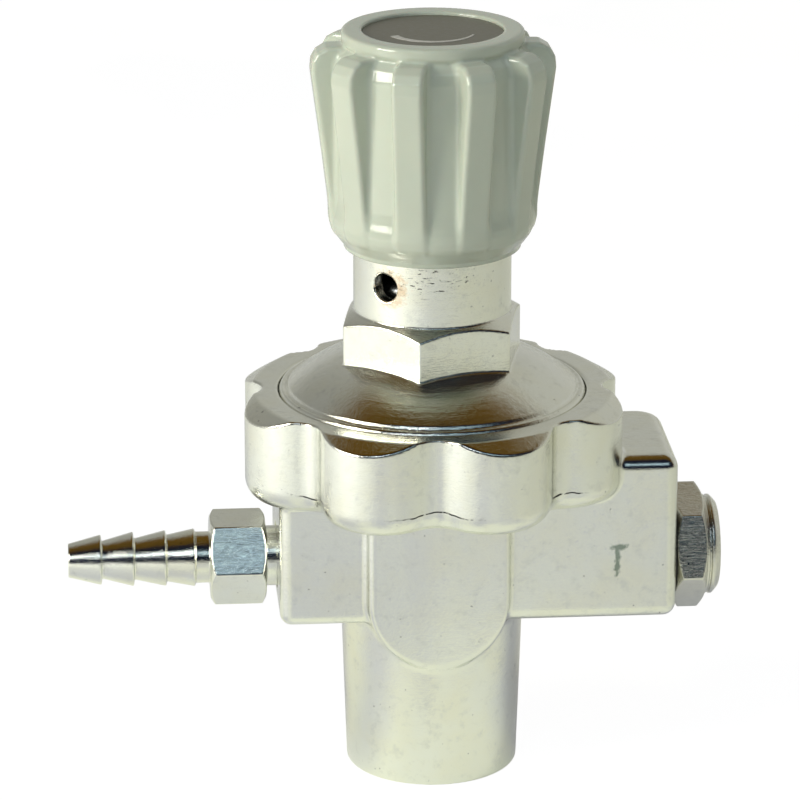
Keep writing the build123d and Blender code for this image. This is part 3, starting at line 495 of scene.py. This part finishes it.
RIB_FILLET, RIM_FILLET, KNOB_HOLLOW_EDGE = 0.7, 0.35, 0.2


def knob_field(x, y, z):
    """The knob's round core with ten ribs that widen upwards, and a rim round the label."""
    radius, angle = np.hypot(x, y), np.arctan2(y, x)
    core = polygon(radius, z, KNOB_CORE, CORE_ROUND)
    rim = np.abs(z - (KNOB_TOP + KNOB_RIM_BOTTOM) / 2) - (KNOB_TOP - KNOB_RIM_BOTTOM) / 2
    rim = round_common(radius - KNOB_RIM_R, rim, RIM_ROUND)
    pitch = 2 * math.pi / RIBS
    folded = (angle - math.radians(RIB_TURN) + pitch / 2) % pitch - pitch / 2
    across, out = np.abs(radius * np.sin(folded)), radius * np.cos(folded)
    rib = round_common(polygon(out, z, RIB_OUTLINE, RIB_TOP_ROUND), across - RIB_WIDTH / 2, RIB_SIDE_ROUND)
    shape = round_union(core, rib, RIB_FILLET)
    shape = round_union(shape, rim, RIM_FILLET)
    return round_cut(shape, polygon(radius, z, KNOB_HOLLOW), KNOB_HOLLOW_EDGE)


# ---------------------------------------------------------------- hose tail and relief valve
TAIL_HEX, TAIL_HEX_TURN = 12.2, 3.4
BARB_CRESTS = [(-48.3, 3.65, 2.75), (-43.6, 3.95, 3.0), (-38.9, 4.05, 3.4), (-34.7, 4.2, 3.75)]
TAIL_HEX_START, TAIL_HEX_END, TAIL_HEX_CHAMFER_R = -32.5, -24.4, 5.95
TAIL_MOUTH_R, TAIL_BORE_R = 2.45, 1.7
THREAD_R, THREAD_PITCH, THREAD_DEPTH = 4.85, 0.907, 0.5
TAIL_NECK = [(-30, 3.75), (-30, 4.4), (-22.2, 4.4), (-22.0, THREAD_R)]
TAIL_THREAD_START = -21.9
PORT_HEX_CORNER, PORT_HEX_EDGE, PORT_HEX_CHAMFER_EDGE, PORT_HEX_ANGLE = 0.2, 0.12, 0.1, 30
TAIL_EDGE, TAIL_HEX_FILLET, TAIL_BORE_EDGE = 0.08, 0.15, 0.2


def turned_hexagon(x, y, z, low, high, across_flats, turn, chamfer_r):
    """A hexagon along the ports' axis with both ends chamfered."""
    shape = hexagon(y, z - PORT_Z, across_flats, turn, PORT_HEX_CORNER)
    across = np.hypot(y, z - PORT_Z)
    shape = round_common(shape, np.abs(x - (low + high) / 2) - (high - low) / 2, PORT_HEX_EDGE)
    for end, way in ((low, -1), (high, 1)):
        chamfer = cone_cut(across, way * x, chamfer_r, way * end, PORT_HEX_ANGLE)
        shape = round_common(shape, chamfer, PORT_HEX_CHAMFER_EDGE)
    return shape


def tail_field(x, y, z):
    """The hose tail: four barbs, a neck, a hexagon and the thread in the casting, with a bore through it."""
    across = np.hypot(y, z - PORT_Z)
    outline = [(tail_low.x, -5), (tail_low.x, TAIL_MOUTH_R)]
    for crest_x, crest_r, next_r in BARB_CRESTS:
        outline += [(crest_x - 0.15, crest_r), (crest_x, crest_r - 0.1), (crest_x + 0.12, next_r)]
    outline += [*TAIL_NECK, (tail_high.x, THREAD_R), (tail_high.x, -5)]
    turned = polygon(x, across, outline, TAIL_EDGE)
    groove = screw_groove(x, np.arctan2(z - PORT_Z, y), THREAD_PITCH, THREAD_DEPTH)
    threaded = np.maximum(turned, (across - THREAD_R + groove) * THREAD_SLOPE)
    turned = np.where(x > TAIL_THREAD_START, threaded, turned)
    hexa = turned_hexagon(x, y, z, TAIL_HEX_START, TAIL_HEX_END, TAIL_HEX, TAIL_HEX_TURN, TAIL_HEX_CHAMFER_R)
    shape = round_union(turned, hexa, TAIL_HEX_FILLET)
    return round_cut(shape, across - TAIL_BORE_R, TAIL_BORE_EDGE)


RELIEF_HEX, RELIEF_HEX_TURN = 16.0, 14.0
RELIEF_HEX_END, RELIEF_HEX_CHAMFER_R = 39.7, 7.8
RELIEF_BOSS = [(36, THREAD_R), (36, 7.3), (40.15, 7.3), (40.15, 6.9), (40.45, 6.9), (40.45, 7.3), (40.9, 7.3),
               (41.3, 6.9)]
RELIEF_THREAD_END, RELIEF_FACE_R = 34.0, 6.3
RELIEF_BORE = [(25.0, -5), (25.0, 3.6), (60, 3.6), (60, -5)]
RELIEF_HOLE_R = 1.2
RELIEF_EDGE, RELIEF_HEX_FILLET, RELIEF_HOLE_EDGE, RELIEF_BORE_EDGE = 0.15, 0.2, 0.1, 0.15


def relief_field(x, y, z):
    """The relief valve's body: the thread in the casting, a hexagon and a grooved boss, with a stepped bore."""
    across = np.hypot(y, z - PORT_Z)
    turned = polygon(x, across, [
        (relief_low.x, -5), (relief_low.x, THREAD_R), *RELIEF_BOSS,
        (relief_high.x, RELIEF_FACE_R), (relief_high.x, -5)], RELIEF_EDGE)
    groove = screw_groove(x, np.arctan2(z - PORT_Z, y), THREAD_PITCH, THREAD_DEPTH)
    threaded = np.maximum(turned, (across - THREAD_R + groove) * THREAD_SLOPE)
    turned = np.where(x < RELIEF_THREAD_END, threaded, turned)
    hexa = turned_hexagon(
        x, y, z, washer_high.x, RELIEF_HEX_END, RELIEF_HEX, RELIEF_HEX_TURN, RELIEF_HEX_CHAMFER_R)
    shape = round_union(turned, hexa, RELIEF_HEX_FILLET)
    shape = round_cut(shape, across - RELIEF_HOLE_R, RELIEF_HOLE_EDGE)
    return round_cut(shape, polygon(x, across, RELIEF_BORE), RELIEF_BORE_EDGE)


# ---------------------------------------------------------------- materials
def plated(name, colour, haze, pit_depth, streak=None, marks=None):
    """Nickel-chrome plate: cloudy polish, fine pits and hairline scratches.

    A streak adds turning lines, and marks is a function that gives pairs of a mask and its colour.
    """
    material, tree, shader = new_material(name)
    place = place_node(tree)
    set_inputs(shader, Metallic=1.0)
    clouds = noise(tree, place, 0.12, 4, 0.6)
    grime = noise(tree, place, 0.5, 5, 0.7)
    warm = tuple(c * k for c, k in zip(colour, (1.0, 0.985, 0.93)))
    dull = tuple(c * 0.86 for c in colour)
    shade = tint(tree, remap(tree, clouds, 0.4, 0.65, 0, 1), colour, warm)
    shade = tint(tree, remap(tree, grime, 0.54, 0.70, 0, 0.8), shade, dull)
    specks = remap(tree, noise(tree, place, 1.15, 2, 0.5), 0.275, 0.235, 0, 0.7)
    shade = tint(tree, specks, shade, tuple(c * 0.35 for c in colour))
    rough = remap(tree, clouds, 0.3, 0.7, haze * 0.6, haze * 1.5)
    for spot, spot_colour in marks(tree, place) if marks else ():
        shade = tint(tree, spot, shade, spot_colour)
        rough = maths(tree, "ADD", rough, maths(tree, "MULTIPLY", spot, 0.35))
    tree.links.new(shade, shader.inputs["Base Color"])
    tree.links.new(rough, shader.inputs["Roughness"])
    swell = noise(tree, place, 0.16, 2, 0.5)
    waves = bump(tree, shader, swell, 0.10, 0.5)
    pits = noise(tree, place, 1.6, 6, 0.75)
    pits = remap(tree, pits, 0.28, 0.60, 0, 1)
    skin = bump(tree, shader, pits, pit_depth, 0.6, waves)
    scratch_place = place_node(tree, (0.15, 0.15, 2.2))
    scratches = remap(tree, noise(tree, scratch_place, 1.3, 2, 0.5, 0.6), 0.47, 0.50, 0, 1)
    skin = bump(tree, shader, scratches, pit_depth * 0.25, 0.35, skin)
    if streak is not None:
        lines = noise(tree, place_node(tree, streak), 1.0, 3, 0.6)
        bump(tree, shader, lines, pit_depth * 0.9, 0.5, skin)
    return material


def spot_mask(tree, place, centre, size, ragged=0.6):
    """A ragged spot: one at its centre, nothing outside its size. Places and sizes are in millimetres."""
    shift = tree.nodes.new("ShaderNodeVectorMath")
    shift.operation = "SUBTRACT"
    tree.links.new(place, shift.inputs[0])
    shift.inputs[1].default_value = centre
    shrink = tree.nodes.new("ShaderNodeVectorMath")
    shrink.operation = "DIVIDE"
    tree.links.new(shift.outputs["Vector"], shrink.inputs[0])
    shrink.inputs[1].default_value = size
    length = tree.nodes.new("ShaderNodeVectorMath")
    length.operation = "LENGTH"
    tree.links.new(shrink.outputs["Vector"], length.inputs[0])
    edge = noise(tree, place, 1.1, 5, 0.7)
    reach = maths(tree, "ADD", length.outputs["Value"], remap(tree, edge, 0.3, 0.7, -ragged, ragged))
    return remap(tree, reach, 0.55, 1.05, 1, 0)


# Wear: where it is, in millimetres, and its colours
STAIN_PLACE = (26.2, -ARM_HALF_WIDTH, 36.0)
STAIN_BAR, STAIN_STEM = (1.7, 2.0, 0.55), (0.5, 2.0, 2.6)
STAIN_STRENGTH, STAIN_COLOUR = 0.7, (0.10, 0.17, 0.13)
RUST_COLOUR = (0.62, 0.36, 0.14)
HALO_SIZE, HALO_STRENGTH = 2.9, 0.5
RUST_SPOT_Z, RUST_SPOT_SIZE, RUST_SPOT_STRENGTH = 61.0, (0.8, 0.8, 0.9), 0.7
DASH_PLACE, DASH_SIZE = (-1.5, -BARREL_R, 77.0), (6.5, 4.0, 3.4)
CREASE_Z, CREASE_HALF_HEIGHT = 46.7, 2.2
CREASES = [(-1.3, -24.3, 7.0), (-18.6, -17.8, 4.2), (17.0, -17.5, 4.0), (22.5, 10.0, 4.0), (-20.0, 14.0, 4.5)]
BLACK = (0.012, 0.012, 0.011)


def largest(tree, masks):
    """The strongest of several masks."""
    result = masks[0]
    for mask in masks[1:]:
        result = maths(tree, "MAXIMUM", result, mask)
    return result


def arm_marks(tree, place):
    """Greenish corrosion on the front of the long arm, and thin black creases low on the flange's wall."""
    x, y, z = STAIN_PLACE
    bar = spot_mask(tree, place, (x, y, z), STAIN_BAR, 0.45)
    stem = spot_mask(tree, place, (x - 0.3, y, z - 2.3), STAIN_STEM, 0.45)
    stain = maths(tree, "MULTIPLY", maths(tree, "MAXIMUM", bar, stem), STAIN_STRENGTH)
    split = tree.nodes.new("ShaderNodeSeparateXYZ")
    tree.links.new(place, split.inputs["Vector"])
    wander = remap(tree, noise(tree, place, 0.2, 2, 0.5), 0.3, 0.7, -0.4, 0.4)
    above = maths(tree, "SUBTRACT", maths(tree, "ADD", split.outputs[2], wander), CREASE_Z)
    thin = remap(tree, maths(tree, "ABSOLUTE", above, 0.0), 0.07, 0.15, 1, 0)
    gaps = remap(tree, noise(tree, place, 0.7, 3, 0.7), 0.40, 0.46, 0, 1)
    near = largest(tree, [
        spot_mask(tree, place, (u, v, CREASE_Z), (reach, reach, CREASE_HALF_HEIGHT), 0.3)
        for u, v, reach in CREASES])
    crease = maths(tree, "MULTIPLY", maths(tree, "MULTIPLY", thin, gaps), near)
    return [(stain, STAIN_COLOUR), (crease, BLACK)]


def vent_marks(tree, place):
    """A rusty halo right of the vent hole, a rust spot on the hexagon and short black pits on the barrel."""
    way = math.radians(VENT_AZIMUTH)
    centre = (BARREL_R * math.cos(way) + 0.9, BARREL_R * math.sin(way) - 0.6, VENT_Z)
    halo = spot_mask(tree, place, centre, (HALO_SIZE, HALO_SIZE, HALO_SIZE), 0.35)
    halo = maths(tree, "MULTIPLY", halo, HALO_STRENGTH)
    corner = math.radians(BONNET_HEX_TURN - 120)
    reach = BONNET_HEX / math.sqrt(3)
    spot_place = (reach * math.cos(corner), reach * math.sin(corner), RUST_SPOT_Z)
    spot = spot_mask(tree, place, spot_place, RUST_SPOT_SIZE, 0.4)
    rust = maths(tree, "MAXIMUM", halo, maths(tree, "MULTIPLY", spot, RUST_SPOT_STRENGTH))
    dashes = remap(tree, noise(tree, place_node(tree, (0.9, 0.9, 3.6)), 1.0, 3, 0.6, 0.5), 0.615, 0.64, 0, 1)
    zone = spot_mask(tree, place, DASH_PLACE, DASH_SIZE, 0.5)
    return [(rust, RUST_COLOUR), (maths(tree, "MULTIPLY", dashes, zone), BLACK)]


NICKEL = (0.80, 0.81, 0.765)
casting_plate = plated("casting_plate", NICKEL, 0.07, 0.022, marks=arm_marks)
bonnet_plate = plated("bonnet_plate", NICKEL, 0.04, 0.026, streak=(0.3, 0.3, 5.0), marks=vent_marks)
tail_plate = plated("tail_plate", NICKEL, 0.045, 0.022, streak=(0.12, 2.2, 2.2))
relief_plate = plated("relief_plate", (0.72, 0.72, 0.675), 0.06, 0.045, streak=(0.12, 2.6, 2.6))


def metal(name, colour, roughness, grain):
    """Plain turned or drawn metal with a fine grain."""
    material, tree, shader = new_material(name)
    set_inputs(shader, Metallic=1.0)
    place = place_node(tree, grain)
    lines = noise(tree, place, 1.5, 4, 0.6)
    dark = tuple(c * 0.75 for c in colour)
    tree.links.new(tint(tree, remap(tree, lines, 0.4, 0.7, 0, 1), colour, dark), shader.inputs["Base Color"])
    tree.links.new(remap(tree, lines, 0.3, 0.7, roughness * 0.8, roughness * 1.3), shader.inputs["Roughness"])
    bump(tree, shader, lines, 0.01, 0.4)
    return material


def soft(name, colour, roughness, scale, depth):
    """Rubber, nylon or fibre: a little mottled, with a fine skin."""
    material, tree, shader = new_material(name)
    place = place_node(tree)
    mottle = noise(tree, place, scale, 5, 0.65)
    dark = tuple(c * 0.7 for c in colour)
    tree.links.new(tint(tree, mottle, colour, dark), shader.inputs["Base Color"])
    tree.links.new(remap(tree, mottle, 0.3, 0.7, roughness * 0.85, roughness * 1.1), shader.inputs["Roughness"])
    bump(tree, shader, mottle, depth, 0.5)
    return material


PLASTIC_COLOURS, PLASTIC_DUST = ((0.495, 0.535, 0.45), (0.525, 0.56, 0.465)), (0.33, 0.33, 0.28)
LABEL_COLOURS = (0.125, 0.118, 0.09), (0.165, 0.155, 0.12)


def knob_plastic():
    """Pale grey-green moulded plastic: glossy, slightly cloudy, with faint handling scratches."""
    material, tree, shader = new_material("knob_plastic")
    place = place_node(tree)
    clouds = noise(tree, place, 0.08, 3, 0.5)
    base = tint(tree, remap(tree, clouds, 0.35, 0.65, 0, 1), *PLASTIC_COLOURS)
    dust = noise(tree, place, 2.4, 6, 0.8)
    base = tint(tree, remap(tree, dust, 0.68, 0.80, 0, 0.3), base, PLASTIC_DUST)
    tree.links.new(base, shader.inputs["Base Color"])
    smudge = noise(tree, place, 0.25, 4, 0.6)
    tree.links.new(remap(tree, smudge, 0.3, 0.7, 0.12, 0.20), shader.inputs["Roughness"])
    set_inputs(shader, IOR=1.5, Coat_Weight=0.25, Coat_Roughness=0.12, Subsurface_Weight=0.06,
               Subsurface_Scale=0.002)
    ripple = bump(tree, shader, noise(tree, place, 0.35, 2, 0.5), 0.05, 0.35)
    grain = noise(tree, place, 3.0, 4, 0.7)
    bump(tree, shader, grain, 0.004, 0.4, ripple)
    return material


def label_film():
    """Dark brown-grey printed film with a faint sheen and specks of dust."""
    material, tree, shader = new_material("label_film")
    place = place_node(tree)
    grain = noise(tree, place, 1.2, 5, 0.7)
    base = tint(tree, remap(tree, grain, 0.4, 0.7, 0, 1), *LABEL_COLOURS)
    tree.links.new(base, shader.inputs["Base Color"])
    tree.links.new(remap(tree, grain, 0.3, 0.7, 0.32, 0.48), shader.inputs["Roughness"])
    bump(tree, shader, grain, 0.01, 0.4)
    return material


plastic = knob_plastic()
film = label_film()
print_white = soft("print_white", (0.62, 0.60, 0.55), 0.45, 2.0, 0.005)
FINISHES = {
    "brass_turned": metal("turned_brass", (0.76, 0.60, 0.32), 0.22, (0.4, 0.4, 4.0)),
    "sintered_bronze": soft("sintered_bronze", (0.42, 0.30, 0.17), 0.7, 4.0, 0.08),
    "black_rubber": soft("black_rubber", (0.03, 0.03, 0.03), 0.55, 1.5, 0.02),
    "seal_plastic": soft("seal_nylon", (0.78, 0.76, 0.70), 0.4, 0.8, 0.01),
    "black_fibre": soft("black_fibre", (0.035, 0.033, 0.03), 0.6, 3.0, 0.03),
    "zinc_steel": metal("zinc_steel", (0.68, 0.68, 0.66), 0.25, (0.5, 0.5, 3.0)),
    "spring_steel": metal("spring_steel", (0.42, 0.42, 0.43), 0.28, (2.0, 2.0, 2.0)),
    "plated_casting": casting_plate,
    "plated_brass": bonnet_plate,
    "grey_plastic": plastic,
    "label_film": film,
}
for row in frame["record"]["subparts"]:
    node = frame["nodes"][row["node"]]
    node.data.materials.clear()
    node.data.materials.append(FINISHES[row["material_slot"]])


# ---------------------------------------------------------------- pieces
body = "body"
turning = "knob_and_screw"
sculpt("casting", "body_casting", casting, 0.30, body, casting_plate)
sculpt("bonnet_shell", "bonnet", bonnet_field, 0.25, body, bonnet_plate)
sculpt("hose_barb", "hose_tail", tail_field, 0.16, body, tail_plate)
sculpt("relief_valve", "relief_valve_body", relief_field, 0.17, body, relief_plate)
sculpt("knob_shell", "knob", knob_field, 0.25, turning, plastic)

ARROW_R, ARROW_WIDTH, ARROW_FROM, ARROW_TO = 6.0, 1.25, 200.0, 338.0
ARROW_TAPER, ARROW_LIFT, ARROW_HALF_THICKNESS = 0.72, 0.02, 0.03


def arrow_field(x, y, z):
    """The curved arrow printed on the label: an arc band that tapers towards its tip."""
    radius = np.hypot(x, y)
    angle = np.degrees(np.arctan2(y, x)) % 360
    share = np.clip((angle - ARROW_FROM) / (ARROW_TO - ARROW_FROM), 0, 1)
    band = np.abs(radius - ARROW_R) - ARROW_WIDTH / 2 * (1 - ARROW_TAPER * share)
    ends = np.maximum(ARROW_FROM - angle, angle - ARROW_TO) * math.pi / 180 * ARROW_R
    flat = np.abs(z - LABEL_TOP - ARROW_LIFT) - ARROW_HALF_THICKNESS
    return np.maximum(round_common(band, ends, 0.1), flat)


arrow = mesh_object("label_arrow", *surface_net(
    arrow_field, (-7, -7, LABEL_TOP - 0.05), (7, 7, LABEL_TOP + 0.1), 0.06))
arrow.data.materials.append(print_white)
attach(arrow, turning)

# Each spring is copied as a coil fixed to the body, in place of its CAD node
for node, joint, axis, anchor, keep in (
    ("range_spring", "screw_travel", (0, 0, 1), (0, 0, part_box("range_spring")[0].z), 0.792),
    ("relief_spring", "relief_lift", (1, 0, 0), (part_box("relief_spring")[1].x, 0, 0), 0.896),
    ("poppet_spring", "poppet_lift", (0, 0, 1), (0, 0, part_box("poppet_spring")[0].z), 0.875),
):
    source = frame["nodes"][node]
    coil = bpy.data.objects.new(node + "_coil", source.data.copy())
    bpy.context.scene.collection.objects.link(coil)
    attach(coil, body)
    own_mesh(coil)
    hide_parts(node)


# ---------------------------------------------------------------- floor, light and camera
def area_light(name, place, target, size, power, colour, glossy=False):
    """A soft rectangular light that the camera doesn't see."""
    data = bpy.data.lights.new(name, "AREA")
    data.shape = "RECTANGLE"
    data.size, data.size_y = size
    data.energy = power
    data.color = colour
    light = bpy.data.objects.new(name, data)
    bpy.context.scene.collection.objects.link(light)
    light.location = place
    light.rotation_euler = (Vector(target) - Vector(place)).to_track_quat("-Z", "Y").to_euler()
    light.visible_camera = False
    light.visible_glossy = glossy


WALL_LEFT, WALL_RIGHT, WALL_LOW = (0.30, 0.30, 0.27), (0.52, 0.52, 0.46), (0.58, 0.585, 0.55)
CEILING_NEAR, CEILING_FAR = (0.054, 0.031, 0.006), (0.125, 0.071, 0.015)
FRONT_DARK, FRONT_WINDOW, FRONT_LAMP = (0.010, 0.014, 0.026), (0.70, 0.95, 1.10), (11.0, 11.5, 12.0)
FLOOR_SIZE, FLOOR_GAP = 8.0, 0.02 * MM
# Painted light and shade on the floor, which only the metal mirrors: cool shaded and warm lit patches, a
# painted brighter left and right, and a painted glow.
FLOOR_PAINTED_SHADE, FLOOR_PAINTED_LIGHT = (0.64, 0.65, 0.685), (0.91, 0.925, 0.81)
FLOOR_LEFT_PAINTED_LIGHT, FLOOR_RIGHT_PAINTED_LIGHT = (0.98, 0.99, 0.96), (0.80, 0.81, 0.70)
FLOOR_PAINTED_GLOW, FLOOR_WHITE, FLOOR_WHITE_SHARE = 0.24, 1.1, 0.85


def sky(scene):
    """What the metal mirrors: pale walls, a brown ceiling, and a dark front with a window and a lamp.

    The camera sees plain white instead.
    """
    world = bpy.data.worlds.new("room")
    world.use_nodes = True
    scene.world = world
    tree = world.node_tree
    background = tree.nodes["Background"]
    place = tree.nodes.new("ShaderNodeTexCoord")
    split = tree.nodes.new("ShaderNodeSeparateXYZ")
    tree.links.new(place.outputs["Generated"], split.inputs["Vector"])
    across, away, up = split.outputs
    room = tint(tree, remap(tree, across, -0.5, 0.5, 0, 1), WALL_LEFT, WALL_RIGHT)
    room = tint(tree, remap(tree, up, 0.35, 0.05, 0, 1), room, WALL_LOW)
    edge = maths(tree, "ADD", away, maths(tree, "MULTIPLY", maths(tree, "ABSOLUTE", across, 0.0), 0.85))
    ceiling = remap(tree, edge, 0.80, 0.71, 0, 1)
    brown = tint(tree, remap(tree, away, -0.50, 0.35, 0, 1), CEILING_NEAR, CEILING_FAR)
    room = tint(tree, ceiling, room, brown)
    room = tint(tree, remap(tree, away, -0.20, -0.28, 0, 1), room, FRONT_DARK)
    band = maths(tree, "MULTIPLY", remap(tree, up, 0.50, 0.54, 0, 1), remap(tree, up, 0.64, 0.68, 1, 0))
    window = maths(tree, "MULTIPLY", band, remap(tree, away, -0.62, -0.70, 0, 1))
    room = tint(tree, window, room, FRONT_WINDOW)
    left_of, right_of = remap(tree, across, -0.26, -0.29, 0, 1), remap(tree, across, -0.34, -0.37, 1, 0)
    lamp = maths(tree, "MULTIPLY", maths(tree, "MULTIPLY", left_of, right_of), window)
    room = tint(tree, lamp, room, FRONT_LAMP)
    path = tree.nodes.new("ShaderNodeLightPath")
    room = tint(tree, path.outputs["Is Camera Ray"], room, (1.0, 1.0, 1.0))
    tree.links.new(room, background.inputs["Color"])
    background.inputs["Strength"].default_value = 1.0


def floor_piece():
    """A plain pale floor: white to the eye, clear from below, with painted light and shade and a painted glow
    where the metal mirrors it.
    """
    bpy.ops.mesh.primitive_plane_add(size=FLOOR_SIZE, location=(0, 0, cad_low.z - FLOOR_GAP))
    floor = bpy.context.object
    floor.name = "floor"
    material, tree, shader = new_material("pale_floor")
    place = place_node(tree)
    split = tree.nodes.new("ShaderNodeSeparateXYZ")
    tree.links.new(place, split.inputs["Vector"])
    across = split.outputs[0]
    # Painted light and shade for the metal to mirror: shaded and lit patches, lighter towards the left and
    # right, and a glow in the floor's own colour.
    light_and_shade_patches = noise(tree, place, 0.014, 2, 0.5)
    shade = tint(tree, remap(tree, light_and_shade_patches, 0.42, 0.58, 0, 1), FLOOR_PAINTED_SHADE, FLOOR_PAINTED_LIGHT)
    shade = tint(tree, remap(tree, across, -60, -160, 0, 1), shade, FLOOR_LEFT_PAINTED_LIGHT)
    shade = tint(tree, remap(tree, across, 60, 160, 0, 1), shade, FLOOR_RIGHT_PAINTED_LIGHT)
    tree.links.new(shade, shader.inputs["Base Color"])
    set_inputs(shader, Roughness=0.65, Specular_IOR_Level=0.1, Emission_Strength=FLOOR_PAINTED_GLOW)
    tree.links.new(shade, shader.inputs["Emission Color"])
    white = tree.nodes.new("ShaderNodeEmission")
    white.inputs["Strength"].default_value = FLOOR_WHITE
    path = tree.nodes.new("ShaderNodeLightPath")
    mixer = tree.nodes.new("ShaderNodeMixShader")
    output = next(node for node in tree.nodes if node.type == "OUTPUT_MATERIAL")
    tree.links.new(maths(tree, "MULTIPLY", path.outputs["Is Camera Ray"], FLOOR_WHITE_SHARE), mixer.inputs[0])
    tree.links.new(shader.outputs["BSDF"], mixer.inputs[1])
    tree.links.new(white.outputs["Emission"], mixer.inputs[2])
    clear = tree.nodes.new("ShaderNodeBsdfTransparent")
    facing = tree.nodes.new("ShaderNodeNewGeometry")
    from_below = tree.nodes.new("ShaderNodeMixShader")
    tree.links.new(facing.outputs["Backfacing"], from_below.inputs[0])
    tree.links.new(mixer.outputs["Shader"], from_below.inputs[1])
    tree.links.new(clear.outputs["BSDF"], from_below.inputs[2])
    tree.links.new(from_below.outputs["Shader"], output.inputs["Surface"])
    floor.data.materials.append(material)


scene = bpy.context.scene
sky(scene)
floor_piece()
scene.view_settings.view_transform = "Standard"

area_light("left_key", (-0.46, -0.20, 0.25), (-0.01, 0, 0.06), (0.22, 0.22), 2.1, (1.0, 0.98, 0.87),
           glossy=True)
area_light("top_soft", (-0.05, -0.30, 0.70), (0, 0, 0.05), (0.8, 0.5), 1.6, (0.84, 0.93, 1.0))
area_light("right_fill", (0.60, -0.20, 0.30), (0, 0, 0.06), (0.5, 0.4), 0.25, (1.0, 0.98, 0.86))

CAMERA_TURN, CAMERA_RISE = -4.5, 18.4
CAMERA_DISTANCE, CAMERA_LENS = 0.661, 205.4
CAMERA_SHIFT = -4.63 * MM  # along the camera's right, to near the middle of the object's width
turn, rise = math.radians(CAMERA_TURN), math.radians(CAMERA_RISE)
spin = Vector((math.cos(turn), math.sin(turn), 0))
back = Vector((math.sin(turn) * math.cos(rise), -math.cos(turn) * math.cos(rise), math.sin(rise)))
camera_data = bpy.data.cameras.new("camera")
camera_data.lens, camera_data.sensor_width = CAMERA_LENS, 36.0
camera = bpy.data.objects.new("camera", camera_data)
scene.collection.objects.link(camera)
camera.location = spin * CAMERA_SHIFT + Vector((0, 0, cad_high.z / 2)) + back * CAMERA_DISTANCE
camera.rotation_euler = (-back).to_track_quat("-Z", "Y").to_euler()
scene.camera = camera
